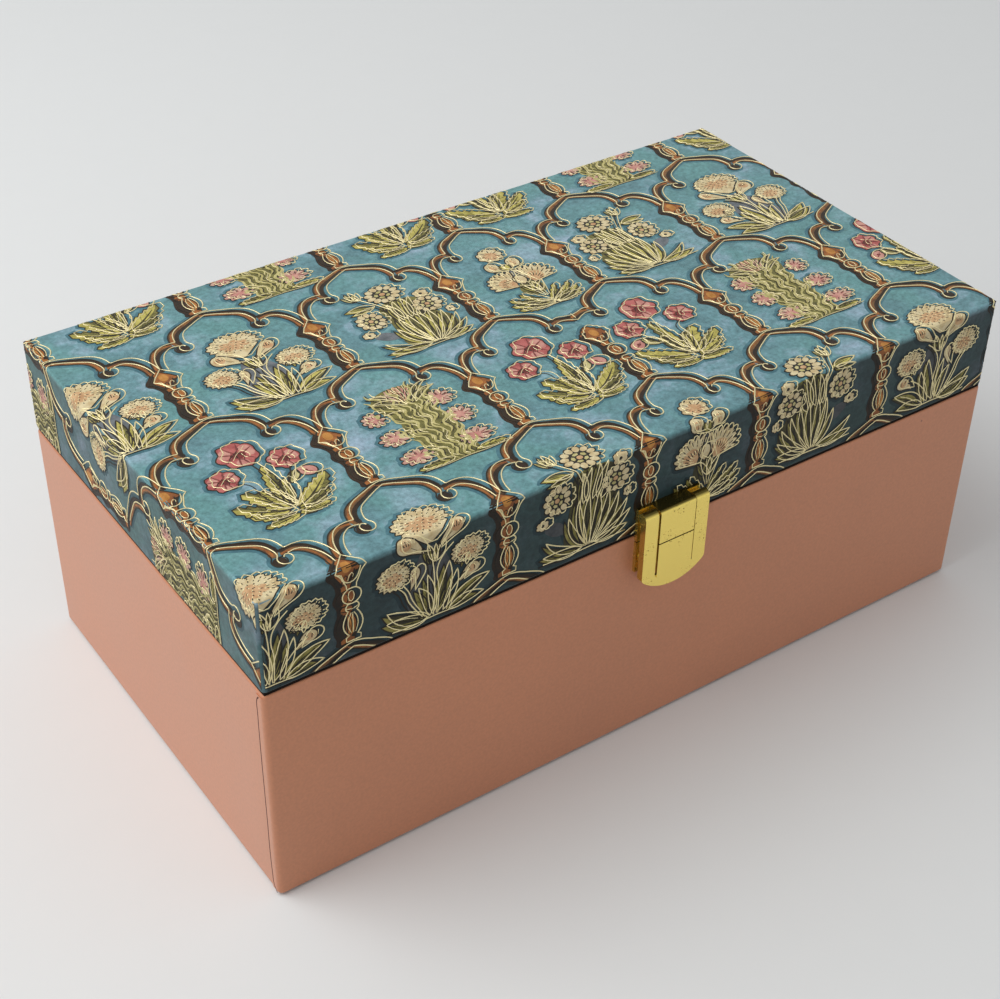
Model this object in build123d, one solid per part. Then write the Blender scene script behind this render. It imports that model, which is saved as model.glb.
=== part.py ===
from build123d import *
import os

# Two-jar gift box. Millimetres, +X right, +Y towards the hinges, +Z up.
# The origin is the centre of the underside, on the surface that the box stands on.

# Box
box_length = 254.0
box_width = 140.0
seam_height = 75.15
lid_height = 30.35
wall_board = 5.0
floor_board = 4.0
top_board = 4.0
corner_radius = 1.3
rim_radius = 0.8
seam_radius = 0.5
rim_strip = 1.1
rim_strip_inset = 0.5

# Coverings
skin = 0.6
turn_in = 12.0
turn_under = 15.0
lap_width = 3.5
lap_rise = 0.3
underside_sheet = 0.6
underside_inset = 3.0
lining = 0.8
lining_setback = 3.0

# Hinges
hinge_spacing = 150.0
hinge_length = 26.0
hinge_leaf_height = 11.0
hinge_sheet = 0.8
hinge_pin_radius = 0.75
hinge_knuckle_gap = 0.2
hinge_leaf_gap = 0.25
hinge_stop_length = 3.0
hinge_nail_height = 7.2
hinge_nail_offset = 8.0
lid_opening = 105.0

# Latch
latch_x = 1.1
latch_width = 22.6
latch_drop = 18.4
latch_rise = 9.35
latch_front = 5.0
latch_depth = 2.2
latch_sheet = 0.8
latch_rail = 4.6
latch_slit = 0.5
latch_bow = 15.7
latch_corner = 1.8
latch_pin_radius = 0.9
latch_parting_drop = 2.0
pad_rise = 0.3
pad_height = 10.9
parting_slit = 0.4
plate_width = 21.8
plate_sheet = 1.0
plate_drop = 12.7
boss_edge = 1.0
keeper_width = 10.0
keeper_height = 8.0
keeper_depth = 1.6
plate_nail_height = 3.0
plate_nail_head = 0.5

# Nails
nail_radius = 0.6
nail_length = 4.9
nail_head_radius = 1.4
nail_head_height = 0.9
nail_clearance = 0.05
running_clearance = 0.05

# Jars and tray
jar_radius = 44.0
jar_headroom = 9.1
jar_wall = 3.0
jar_foot = 4.0
jar_push_up = 1.5
neck_radius = 39.6
neck_height = 16.5
shoulder_height = 5.0
bead_height = 1.5
cap_height = 15.0
cap_sheet = 0.5
cap_recess = 0.6
cap_clearance = 0.9
liner_thickness = 1.2
tray_board = 2.5
tray_height = 44.0
tray_clearance = 1.0
tray_cover_sheet = 0.6
jar_clearance = 1.0

# Levels of the base, from the underside up
base_bottom = underside_sheet
floor_bottom = base_bottom + skin
floor_top = floor_bottom + floor_board
base_edge = seam_height - rim_strip / 2
rim_top = base_edge - skin
lined_floor = floor_top + lining

# Levels of the lid
box_height = seam_height + lid_height
lid_edge = seam_height + rim_strip / 2
lid_rim = lid_edge + skin
lid_top_outside = box_height - skin
lid_top_inside = lid_top_outside - top_board
lid_ceiling = lid_top_inside - lining

# Plan sizes
board_length = box_length - 2 * skin
board_width = box_width - 2 * skin
hollow_length = board_length - 2 * wall_board
hollow_width = board_width - 2 * wall_board
faced_length = hollow_length - 2 * skin
faced_width = hollow_width - 2 * skin
lined_length = faced_length - 2 * lining
lined_width = faced_width - 2 * lining
front_face = -box_width / 2
back_face = box_width / 2

# Hinge axis
knuckle_bore = hinge_pin_radius + running_clearance
knuckle_radius = knuckle_bore + hinge_sheet
hinge_y = back_face + knuckle_radius

# Latch axis, with depths counted outwards from the front face
curl_bore = latch_pin_radius + running_clearance
curl_radius = curl_bore + latch_sheet
latch_pin_depth = latch_front - curl_radius
latch_top = seam_height + latch_rise
latch_pin_height = latch_top - curl_radius
boss_width = latch_width - 2 * latch_rail - 2 * latch_slit
boss_front = latch_front + pad_rise
lid_plate_low = seam_height - latch_parting_drop + parting_slit / 2
base_plate_high = seam_height - latch_parting_drop - parting_slit / 2
base_plate_low = seam_height - plate_drop
base_plate_middle = (base_plate_low + base_plate_high) / 2
plate_nail_x = plate_width / 4 + boss_width / 4
lid_plate_nail_z = seam_height + plate_nail_height

# Jar levels
jar_top = lid_ceiling - jar_headroom
mouth_top = jar_top - cap_recess - cap_sheet - liner_thickness
neck_bottom = jar_top - neck_height
shoulder_bottom = neck_bottom - shoulder_height
cap_bottom = jar_top - cap_height
cap_inner_radius = neck_radius + cap_clearance
cap_radius = cap_inner_radius + cap_sheet
jar_x = lined_length / 4

# Tray levels
deck_bottom = lined_floor + tray_height
deck_top = deck_bottom + tray_board
tray_length = lined_length - 2 * tray_clearance
tray_width = lined_width - 2 * tray_clearance
jar_hole = jar_radius + jar_clearance
deck_hole = jar_hole + tray_cover_sheet


def block(x_range, y_range, z_range):
    """A box between two values on each axis."""
    ranges = (x_range, y_range, z_range)
    middle = [(low + high) / 2 for low, high in ranges]
    return Pos(*middle) * Box(*(high - low for low, high in ranges))


def centred(length, width, z_range):
    """A box centred on the vertical axis of the gift box."""
    return block((-length / 2, length / 2), (-width / 2, width / 2), z_range)


def rod(radius, x_range, y, z):
    """A round bar along X."""
    low, high = x_range
    return Pos((low + high) / 2, y, z) * Rot(0, 90, 0) * Cylinder(radius, high - low)


def drill(x, y_range, z):
    """A nail's hole along Y."""
    low, high = y_range
    bit = Cylinder(nail_radius + nail_clearance, high - low)
    return Pos(x, (low + high) / 2, z) * Rot(90, 0, 0) * bit


def nail(x, surface_y, z, outward, head_height=nail_head_height):
    """A round-headed nail whose head sits on a face that looks along Y, outward being -1 or 1."""
    shank = Pos(0, 0, -nail_length / 2) * Cylinder(nail_radius, nail_length)
    head = Pos(0, 0, head_height / 2) * Cylinder(nail_head_radius, head_height)
    head = fillet(head.edges().sort_by(Axis.Z)[-1], 0.8 * head_height)
    return Pos(x, surface_y, z) * Rot(-90 * outward, 0, 0) * (shank + head)


def hinge_nail_places(side):
    """Places (x, z) of the nails of one row of leaves, side being -1 for the base and 1 for the lid."""
    z = seam_height + side * hinge_nail_height
    return [
        (hinge + nail_side * hinge_nail_offset, z)
        for hinge in (-hinge_spacing / 2, hinge_spacing / 2)
        for nail_side in (-1, 1)
    ]


def plate_nail_places(side):
    """Places (x, z) of the two nails of a latch plate."""
    z = lid_plate_nail_z if side > 0 else base_plate_middle
    return [(latch_x - plate_nail_x, z), (latch_x + plate_nail_x, z)]


def nail_holes(side):
    """Every nail hole of the base (side -1) or the lid (side 1), through both skins and boards."""
    reach = skin + wall_board
    back = [drill(x, (back_face - reach, back_face + 1), z) for x, z in hinge_nail_places(side)]
    front = [drill(x, (front_face - 1, front_face + reach), z) for x, z in plate_nail_places(side)]
    return back + front


def walls(prefix, z_range, side):
    """Front and back boards run the full length, and the side boards stand between them."""
    half_length = board_length / 2
    half_width = board_width / 2
    inner = half_length - wall_board
    full = (-half_length, half_length)
    between = (wall_board - half_width, half_width - wall_board)
    holes = nail_holes(side)
    return {
        f"{prefix}_front_board": block(full, (-half_width, between[0]), z_range) - holes,
        f"{prefix}_back_board": block(full, (between[1], half_width), z_range) - holes,
        f"{prefix}_left_board": block((-half_length, -inner), between, z_range),
        f"{prefix}_right_board": block((inner, half_length), between, z_range),
    }


def rounded_case(z_range, low_radius, high_radius):
    """The outside of the covered base or lid, with its eased corners and rims."""
    case = centred(box_length, box_width, z_range)
    case = fillet(case.edges().filter_by(Axis.Z), corner_radius)
    case = fillet(case.edges().group_by(Axis.Z)[0], low_radius)
    return fillet(case.edges().group_by(Axis.Z)[-1], high_radius)


def lap():
    """The cover's end, lapped round the front left corner on to the left face."""
    left = -box_length / 2 - lap_rise
    bend = corner_radius + lap_rise
    start = Vector(left + bend, front_face)
    turn = Vector(left, front_face + bend)
    end = Vector(left, front_face + lap_width)
    inner = Vector(-box_length / 2 + skin / 2, front_face + lap_width)
    heel = Vector(-box_length / 2 + skin / 2, front_face + bend)
    outline = [
        RadiusArc(start, turn, bend),
        Line(turn, end),
        Line(end, inner),
        Line(inner, heel),
        Line(heel, start),
    ]
    strip = extrude(make_face(outline), base_edge - base_bottom - 2 * rim_radius)
    boards = centred(board_length, board_width, (0, seam_height))
    return Pos(0, 0, base_bottom + rim_radius) * strip - boards


def base_cover():
    """The base's leatherette: four sides, turned in over the rim and turned under the floor."""
    cover = rounded_case((base_bottom, base_edge), rim_radius, seam_radius)
    cover -= centred(board_length, board_width, (floor_bottom, rim_top))
    cover -= centred(faced_length, faced_width, (rim_top - 1, seam_height))
    cover -= centred(
        box_length - 2 * turn_under, box_width - 2 * turn_under, (base_bottom - 1, floor_bottom + 1)
    )
    facing = centred(hollow_length, hollow_width, (base_edge - turn_in, rim_top))
    facing -= centred(faced_length, faced_width, (base_edge - turn_in - 1, seam_height))
    return cover + facing + lap() - nail_holes(-1)


def lid_cover():
    """The lid's printed leatherette: top and four sides, turned in round the rim."""
    cover = rounded_case((lid_edge, box_height), seam_radius, rim_radius)
    cover -= centred(board_length, board_width, (lid_rim, lid_top_outside))
    cover -= centred(faced_length, faced_width, (seam_height, lid_rim + 1))
    facing = centred(hollow_length, hollow_width, (lid_rim, lid_edge + turn_in))
    facing -= centred(faced_length, faced_width, (lid_rim - 1, lid_edge + turn_in + 1))
    return cover + facing - nail_holes(1)


def base_lining():
    """A folded lining: a floor and four sides that stop below the rim."""
    outside = centred(faced_length, faced_width, (floor_top, base_edge - lining_setback))
    return outside - centred(lined_length, lined_width, (lined_floor, seam_height))


def lid_lining():
    """The same lining upside down in the lid."""
    outside = centred(faced_length, faced_width, (lid_edge + lining_setback, lid_top_inside))
    return outside - centred(lined_length, lined_width, (seam_height, lid_ceiling))


def rim_felt():
    """A strip of felt on the base's rim, set back a little, that the lid closes on."""
    length = box_length - 2 * rim_strip_inset
    width = box_width - 2 * rim_strip_inset
    ring = centred(length, width, (base_edge, lid_edge))
    return ring - centred(faced_length, faced_width, (base_edge - 1, lid_edge + 1))


def base():
    """Boards and coverings of the base."""
    pieces = walls("base", (floor_top, rim_top), -1)
    pieces["base_floor_board"] = centred(board_length, board_width, (floor_bottom, floor_top))
    pieces["base_cover"] = base_cover()
    pieces["base_lining"] = base_lining()
    pieces["base_rim_strip"] = rim_felt()
    pieces["underside_sheet"] = centred(
        box_length - 2 * underside_inset, box_width - 2 * underside_inset, (0, underside_sheet)
    )
    return pieces


def lid():
    """Boards and coverings of the lid."""
    pieces = walls("lid", (lid_rim, lid_top_inside), 1)
    pieces["lid_top_board"] = centred(board_length, board_width, (lid_top_inside, lid_top_outside))
    pieces["lid_cover"] = lid_cover()
    pieces["lid_lining"] = lid_lining()
    return pieces


def knuckle(x_range, side):
    """A rolled knuckle with the web that joins it to its leaf."""
    low, high = sorted((seam_height, seam_height + side * (knuckle_radius + hinge_leaf_gap)))
    web = block(x_range, (back_face, back_face + hinge_sheet), (low, high))
    barrel = rod(knuckle_radius, x_range, hinge_y, seam_height)
    return web + barrel


def hinge_leaf(hinge_x, side, knuckles):
    """A leaf flat on the back face, with its knuckles on the hinge's axis."""
    near = seam_height + side * (knuckle_radius + hinge_leaf_gap)
    far = seam_height + side * hinge_leaf_height
    x_range = (hinge_x - hinge_length / 2, hinge_x + hinge_length / 2)
    leaf = block(x_range, (back_face, back_face + hinge_sheet), sorted((near, far)))
    corners = leaf.edges().filter_by(Axis.Y).sort_by(Axis.Z)
    leaf = fillet(corners[:2] if side < 0 else corners[-2:], 2 * hinge_sheet)
    for knuckle_range in knuckles:
        leaf += knuckle(knuckle_range, side)
    bore = rod(knuckle_bore, (x_range[0] - 1, x_range[1] + 1), hinge_y, seam_height)
    holes = [
        drill(x, (back_face - 1, back_face + 2 * hinge_sheet), z) for x, z in hinge_nail_places(side)
    ]
    return leaf - bore - holes


def hinge_stop(x_range):
    """A tail on the base's knuckle that the lid's leaf comes to rest on when the lid is open."""
    reach = knuckle_radius + hinge_stop_length
    start = knuckle_bore + hinge_sheet / 2
    offset = knuckle_radius - hinge_sheet - running_clearance
    tail = block(x_range, (start, reach), (offset - hinge_sheet, offset))
    return Pos(0, hinge_y, seam_height) * Rot(90 - lid_opening, 0, 0) * tail


def hinges():
    """Two butt hinges: the lid's leaf has the outer knuckles, the base's leaf the middle one."""
    pieces = {}
    third = hinge_length / 3
    for name, hinge_x in (("left", -hinge_spacing / 2), ("right", hinge_spacing / 2)):
        middle = (hinge_x - third / 2, hinge_x + third / 2)
        outer = [
            (hinge_x - hinge_length / 2, middle[0] - hinge_knuckle_gap),
            (middle[1] + hinge_knuckle_gap, hinge_x + hinge_length / 2),
        ]
        pieces[f"hinge_{name}_base_leaf"] = hinge_leaf(hinge_x, -1, [middle]) + hinge_stop(middle)
        pieces[f"hinge_{name}_lid_leaf"] = hinge_leaf(hinge_x, 1, outer)
        pieces[f"hinge_{name}_pin"] = rod(
            hinge_pin_radius,
            (hinge_x - hinge_length / 2, hinge_x + hinge_length / 2),
            hinge_y,
            seam_height,
        )
    for name, side in (("base", -1), ("lid", 1)):
        pieces[f"hinge_nails_{name}"] = Compound(
            [nail(x, back_face + hinge_sheet, z, 1) for x, z in hinge_nail_places(side)]
        )
    return pieces


def outwards(x_range, depth_range, z_range):
    """A box of the latch, across from the latch's middle and outwards from the front face."""
    low, high = x_range
    near, far = depth_range
    return block((latch_x + low, latch_x + high), (front_face - far, front_face - near), z_range)


def on_latch_axis(radius, x_range):
    """A round bar on the flap's axis, across from the latch's middle."""
    low, high = x_range
    return rod(radius, (latch_x + low, latch_x + high), front_face - latch_pin_depth, latch_pin_height)


def plate_holes(side):
    """Nail holes of a latch plate."""
    return [
        drill(x, (front_face - 2 * plate_sheet, front_face + 1), z) for x, z in plate_nail_places(side)
    ]


def latch_lid_plate():
    """The lid's plate with a hollow boss that carries the pin of the flap."""
    half = boss_width / 2
    low = lid_plate_low
    plate = outwards((-plate_width / 2, plate_width / 2), (0, plate_sheet), (low, latch_top))
    boss = outwards((-half, half), (0, boss_front), (low, latch_top))
    front_edges = boss.edges().filter_by(Axis.X).group_by(Axis.Y)[0]
    boss = fillet(front_edges.sort_by(Axis.Z)[-1], boss_edge)
    hollow = outwards(
        (latch_sheet - half, half - latch_sheet),
        (plate_sheet, boss_front - latch_sheet),
        (low - 1, latch_top - latch_sheet),
    )
    front_edges = hollow.edges().filter_by(Axis.X).group_by(Axis.Y)[0]
    hollow = fillet(front_edges.sort_by(Axis.Z)[-1], boss_edge - latch_sheet)
    bore = on_latch_axis(curl_bore, (-half - 1, half + 1))
    return plate + boss - hollow - bore - plate_holes(1)


def latch_base_plate():
    """The base's plate with the low keeper that the flap's lower rim snaps under."""
    plate = outwards(
        (-plate_width / 2, plate_width / 2),
        (0, plate_sheet),
        (base_plate_low, base_plate_high),
    )
    keeper = outwards(
        (-keeper_width / 2, keeper_width / 2),
        (0, plate_sheet + keeper_depth),
        (base_plate_middle - keeper_height / 2, base_plate_middle + keeper_height / 2),
    )
    keeper = fillet(keeper.faces().sort_by(Axis.Y)[0].edges(), keeper_depth / 2)
    return plate + keeper - plate_holes(-1)


def flap_outline(inset):
    """The flap's front outline, its foot bowed and its lower corners eased, drawn in by an inset."""
    half = latch_width / 2 - inset
    bow = latch_bow - inset
    low = seam_height - latch_drop + inset
    side_low = low + bow - (bow**2 - half**2) ** 0.5
    left, right = (-half, side_low), (half, side_low)
    top_left, top_right = (-half, latch_pin_height), (half, latch_pin_height)
    outline = make_face(
        [
            Line(top_left, left),
            ThreePointArc(left, (0, low), right),
            Line(right, top_right),
            Line(top_right, top_left),
        ]
    )
    return fillet(outline.vertices().sort_by(Axis.Y)[:2], latch_corner - inset)


def latch_flap():
    """A drawn sheet: two rails and a bowed foot with a rim behind, curls on the pin and a raised pad."""
    half_window = boss_width / 2 + latch_slit
    front = Plane(
        origin=(latch_x, front_face - latch_front, 0), x_dir=(1, 0, 0), z_dir=(0, -1, 0)
    )
    flap = extrude(front * flap_outline(0), -latch_depth)
    behind = front.offset(-latch_sheet)
    flap -= extrude(behind * flap_outline(latch_sheet), -latch_depth)
    pad_low = base_plate_high - pad_height
    window = (-half_window, half_window)
    flap -= outwards(window, (0, latch_front + 1), (pad_low, latch_top + 1))
    half_pad = boss_width / 2
    pad = outwards(
        (-half_pad, half_pad), (boss_front - latch_sheet, boss_front), (pad_low, base_plate_high)
    )
    joggle = outwards(
        (-half_pad, half_pad), (latch_front - latch_sheet, boss_front), (pad_low - latch_sheet, pad_low)
    )
    joggle = chamfer(
        joggle.edges().filter_by(Axis.X).group_by(Axis.Y)[0].sort_by(Axis.Z)[0], pad_rise / 2
    )
    flap += pad + joggle
    for rail in ((-latch_width / 2, -half_window), (half_window, latch_width / 2)):
        flap += on_latch_axis(curl_radius, rail)
    return flap - on_latch_axis(curl_bore, (-latch_width, latch_width))


def latch():
    """Flap, pin, both plates and their nails."""
    pieces = {
        "latch_lid_plate": latch_lid_plate(),
        "latch_base_plate": latch_base_plate(),
        "latch_flap": latch_flap(),
        "latch_pin": on_latch_axis(latch_pin_radius, (-latch_width / 2, latch_width / 2)),
    }
    for name, side in (("base", -1), ("lid", 1)):
        pieces[f"latch_nails_{name}"] = Compound(
            [
                nail(x, front_face - plate_sheet, z, -1, plate_nail_head)
                for x, z in plate_nail_places(side)
            ]
        )
    return pieces


def turned(points, radii):
    """A solid turned about Z from (radius, height) points that start and end on the axis."""
    side = FilletPolyline(points, radius=radii)
    face = make_face([*side.edges(), Line(points[-1], points[0])])
    return revolve(Plane.XZ * face, Axis.Z)


def jar_glass():
    """A round jar with a pushed-up foot, a shoulder and a plain neck below a wide mouth."""
    floor = lined_floor
    foot_radius = jar_radius - jar_foot - jar_wall
    outside = turned(
        [
            (0, floor + jar_push_up),
            (foot_radius - jar_push_up, floor + jar_push_up),
            (foot_radius, floor),
            (jar_radius, floor),
            (jar_radius, shoulder_bottom),
            (neck_radius, neck_bottom),
            (neck_radius, mouth_top),
            (0, mouth_top),
        ],
        [0, 0, jar_foot, jar_foot, 0, jar_wall / 4],
    )
    inside = turned(
        [
            (0, floor + jar_push_up + jar_foot),
            (jar_radius - jar_wall, floor + jar_push_up + jar_foot),
            (jar_radius - jar_wall, shoulder_bottom),
            (neck_radius - jar_wall, neck_bottom),
            (neck_radius - jar_wall, mouth_top + 1),
            (0, mouth_top + 1),
        ],
        [jar_foot, jar_foot, 0, 0],
    )
    bead_z = cap_bottom - running_clearance - bead_height
    bead = Pos(0, 0, bead_z) * Cylinder(
        cap_inner_radius, bead_height, align=(Align.CENTER, Align.CENTER, Align.MIN)
    )
    bead = chamfer(bead.edges(), bead_height / 3)
    return outside + bead - inside


def jar_cap():
    """A sheet cap: recessed top panel, plain skirt and a rolled bead at its foot."""
    panel_radius = neck_radius - jar_wall - cap_sheet
    curl = 2 * cap_sheet
    outside = turned(
        [
            (0, cap_bottom),
            (cap_radius, cap_bottom),
            (cap_radius, jar_top),
            (panel_radius + cap_sheet, jar_top),
            (panel_radius, jar_top - cap_recess),
            (0, jar_top - cap_recess),
        ],
        [0, 2 * cap_sheet, cap_recess / 4, cap_recess / 4],
    )
    inside = turned(
        [
            (0, cap_bottom - 1),
            (cap_inner_radius, cap_bottom - 1),
            (cap_inner_radius, jar_top - cap_recess - cap_sheet),
            (0, jar_top - cap_recess - cap_sheet),
        ],
        [0, cap_sheet],
    )
    ring = Pos(0, 0, cap_bottom + curl / 2) * Torus(cap_radius, curl / 2)
    hollow = Pos(0, 0, cap_bottom + curl / 2) * Cylinder(cap_inner_radius, 2 * curl)
    return outside + (ring - hollow) - inside


def jar_liner():
    """The disc between the jar's mouth and the cap."""
    radius = neck_radius - running_clearance
    return Pos(0, 0, mouth_top) * Cylinder(
        radius, liner_thickness, align=(Align.CENTER, Align.CENTER, Align.MIN)
    )


def jars():
    """Two like jars with their caps and liners."""
    pieces = {}
    for name, side in (("left", -1), ("right", 1)):
        place = Pos(side * jar_x, 0, 0)
        pieces[f"jar_{name}_glass"] = place * jar_glass()
        pieces[f"jar_{name}_cap"] = place * jar_cap()
        pieces[f"jar_{name}_liner"] = place * jar_liner()
    return pieces


def tray():
    """A raised deck with a hole for each jar, on four legs and a divider, under a velvet cover."""
    half_length = tray_length / 2
    half_width = tray_width / 2
    inner = half_length - tray_board
    full = (-half_length, half_length)
    between = (tray_board - half_width, half_width - tray_board)
    legs = (lined_floor, deck_bottom)
    deck = centred(tray_length, tray_width, (deck_bottom, deck_top))
    cover = centred(tray_length, tray_width, (deck_top, deck_top + tray_cover_sheet))
    for side in (-1, 1):
        place = Pos(side * jar_x, 0, deck_bottom)
        depth = deck_top - deck_bottom
        up = (Align.CENTER, Align.CENTER, Align.MIN)
        deck -= place * Cylinder(deck_hole, depth, align=up)
        cover += place * Cylinder(deck_hole, depth + tray_cover_sheet, align=up)
    for side in (-1, 1):
        cover -= Pos(side * jar_x, 0, deck_top) * Cylinder(jar_hole, 4 * tray_board)
    return {
        "tray_deck": deck,
        "tray_cover": cover,
        "tray_front_leg": block(full, (-half_width, between[0]), legs),
        "tray_back_leg": block(full, (between[1], half_width), legs),
        "tray_left_leg": block((-half_length, -inner), between, legs),
        "tray_right_leg": block((inner, half_length), between, legs),
        "tray_divider": block((-tray_board / 2, tray_board / 2), between, legs),
    }


def main():
    """Write one file for each piece."""
    os.makedirs("parts", exist_ok=True)
    pieces = {**base(), **lid(), **hinges(), **latch(), **jars(), **tray()}
    for name, piece in pieces.items():
        export_step(piece, f"parts/{name}.step")


main()
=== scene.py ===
"""A hinged gift box for two jars: its covering, printed lid, metal fittings, lining, tray and jars."""

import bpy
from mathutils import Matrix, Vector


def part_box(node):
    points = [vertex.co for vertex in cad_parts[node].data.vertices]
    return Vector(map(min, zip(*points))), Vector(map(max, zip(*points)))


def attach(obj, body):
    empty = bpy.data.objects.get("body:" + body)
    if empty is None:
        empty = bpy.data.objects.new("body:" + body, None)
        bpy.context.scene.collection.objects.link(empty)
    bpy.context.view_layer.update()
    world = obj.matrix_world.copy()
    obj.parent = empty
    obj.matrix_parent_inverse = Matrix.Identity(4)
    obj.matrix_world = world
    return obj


bl_info = {
    "name": "Two-jar gift box",
    "version": (1, 0, 0),
    "blender": (4, 5, 0),
    "location": "3D View > Sidebar > Gift Box",
    "description": "Finishes a covered gift box with a raised foil print on its lid",
    "category": "Object",
}

import math
import random
from functools import partial

import bmesh
import bpy
from bpy.props import FloatProperty, FloatVectorProperty, IntProperty, PointerProperty
from mathutils import Matrix, Vector

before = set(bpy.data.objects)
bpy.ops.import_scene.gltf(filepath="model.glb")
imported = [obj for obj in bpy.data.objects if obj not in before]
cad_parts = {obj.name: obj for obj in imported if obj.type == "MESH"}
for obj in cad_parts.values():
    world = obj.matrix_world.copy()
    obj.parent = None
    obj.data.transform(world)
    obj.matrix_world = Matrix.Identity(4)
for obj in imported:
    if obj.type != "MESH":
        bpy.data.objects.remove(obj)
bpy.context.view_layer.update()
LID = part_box("lid_cover")
MM = 0.001


def tone(code):
    """Linear red, green and blue of an sRGB hex value."""
    shares = [int(code[i : i + 2], 16) / 255 for i in (1, 3, 5)]
    return tuple(s / 12.92 if s <= 0.04045 else ((s + 0.055) / 1.055) ** 2.4 for s in shares)


class GiftBoxCovering(bpy.types.PropertyGroup):
    copper: FloatVectorProperty(
        name="Copper covering", description="Colour of the pearl leatherette on the base",
        subtype="COLOR", default=tone("#C4815D"))
    teal: FloatVectorProperty(
        name="Teal ground", description="Ground colour of the printed leatherette on the lid",
        subtype="COLOR", default=tone("#6D979E"))
    lavender: FloatVectorProperty(
        name="Lavender patches", description="Colour of the palest patches of the printed ground",
        subtype="COLOR", default=tone("#9DB5C6"))
    # Painted shade: how much colour is left on the lid's turned-down sides, which are less lit than the top.
    border: FloatProperty(
        name="Painted side shade", description="How much of the printed ground's colour painted shade leaves where the sheet turns down, as a share",
        default=0.16, min=0, max=1)
    velvet: FloatVectorProperty(
        name="Velvet lining", description="Colour of the flocked lining and the tray's cover",
        subtype="COLOR", default=tone("#DCCFB6"))
    grain: FloatProperty(
        name="Grain size", description="Width of one pebble of the embossed grain",
        default=0.45 * MM, unit="LENGTH", precision=5)
    rim_radius: FloatProperty(
        name="Rim radius", description="Radius of the lid's upper edges, round which the print folds",
        default=0.8 * MM, unit="LENGTH", precision=5)
    corner_radius: FloatProperty(
        name="Corner radius", description="Radius of the lid's upright edges",
        default=1.3 * MM, unit="LENGTH", precision=5)


class GiftBoxPrint(bpy.types.PropertyGroup):
    foil: FloatVectorProperty(
        name="Foil", description="Colour of the raised foil lines", subtype="COLOR", default=tone("#F0E2B0"))
    line_width: FloatProperty(
        name="Foil line width", description="Width of a raised foil line",
        default=0.45 * MM, unit="LENGTH", precision=5)
    line_height: FloatProperty(
        name="Foil line height", description="How far a foil line stands over the covering",
        default=0.2 * MM, unit="LENGTH", precision=5)
    shift_across: FloatProperty(
        name="Print shift across", description="How far the colours lie beside the foil, across the lid",
        default=-1.45 * MM, unit="LENGTH", precision=5)
    shift_along: FloatProperty(
        name="Print shift along", description="How far the colours lie beside the foil, front to back",
        default=-0.3 * MM, unit="LENGTH", precision=5)
    stretch: FloatProperty(
        name="Print stretch", description="How much wider the colours are printed than the foil, as a share",
        default=0.003, min=-0.05, max=0.05)
    mirror_axis: FloatProperty(
        name="Mirror axis", description="Where the pattern mirrors, from the middle of the lid",
        default=14.5 * MM, unit="LENGTH", precision=5)
    seed: IntProperty(
        name="Petal seed", description="Start value for the uneven edges of the petals", default=7, min=0)


class GiftBoxFittings(bpy.types.PropertyGroup):
    brass: FloatVectorProperty(
        name="Brass plating", description="Colour of the latch and the hinges",
        subtype="COLOR", default=tone("#FFE57C"))
    tinplate: FloatVectorProperty(
        name="Gold lacquer", description="Colour of the jars' screw caps",
        subtype="COLOR", default=tone("#D9B46A"))


class GiftBoxStage(bpy.types.PropertyGroup):
    floor: FloatVectorProperty(
        name="Floor", description="Colour of the plain floor", subtype="COLOR", default=tone("#E4E5E4"))
    key_power: FloatProperty(
        name="Key light", description="Power of the large soft lamp overhead at the left",
        default=11.4, unit="POWER")
    surround: FloatProperty(
        name="Surround", description="Strength of the even light from all sides", default=0.55, min=0)
    azimuth: FloatProperty(
        name="Camera azimuth", description="Turn of the camera round the box from straight in front",
        default=math.radians(-35.16), subtype="ANGLE")
    elevation: FloatProperty(
        name="Camera elevation", description="Height angle of the camera",
        default=math.radians(37.31), subtype="ANGLE")
    roll: FloatProperty(
        name="Camera roll", description="Turn of the camera about its own view",
        default=math.radians(0.98), subtype="ANGLE")
    focal_length: FloatProperty(
        name="Focal length", description="Camera lens on a 36 mm wide sensor",
        default=66.54, subtype="DISTANCE_CAMERA")


def feed(material, node, inputs):
    """Sets a node's inputs to values, or links each to a socket or to another node's first open output."""
    for name, value in dict(inputs).items():
        if isinstance(value, bpy.types.Node):
            value = next(output for output in value.outputs if output.enabled)
        if isinstance(value, bpy.types.NodeSocket):
            material.node_tree.links.new(value, node.inputs[name])
        else:
            node.inputs[name].default_value = value


def add_node(material, kind, inputs=(), **settings):
    """Adds one node with its settings and links."""
    node = material.node_tree.nodes.new("ShaderNode" + kind)
    for name, value in settings.items():
        setattr(node, name, value)
    feed(material, node, inputs)
    return node


# The inputs of a Map Range node, in the order in which they are given below.
RANGE = ("Value", "From Min", "From Max", "To Min", "To Max")


def new_material(name):
    """An empty node material, its shader, the place that its patterns read and what adds a node to it."""
    material = bpy.data.materials.new(name)
    material.use_nodes = True
    material.node_tree.nodes.clear()
    add = partial(add_node, material)
    place = add("TexCoord").outputs["Object"]
    shader = add("BsdfPrincipled")
    add("OutputMaterial", {"Surface": shader})
    return material, shader, place, add


def opaque(colour, gain=1.0):
    """A colour or hex value with full alpha, lighter or darker by a factor."""
    colour = tone(colour) if isinstance(colour, str) else colour
    return tuple(min(1.0, c * gain) for c in colour[:3]) + (1.0,)


def shades(factor, colour, low, high):
    """Inputs that mix two shades of one colour."""
    return {"Factor": factor, "A": opaque(colour, low), "B": opaque(colour, high)}


def sized(place, millimetres, **more):
    """Inputs of a pattern with cells of that width."""
    return {"Vector": place, "Scale": 1000 / millimetres, **more}


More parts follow.
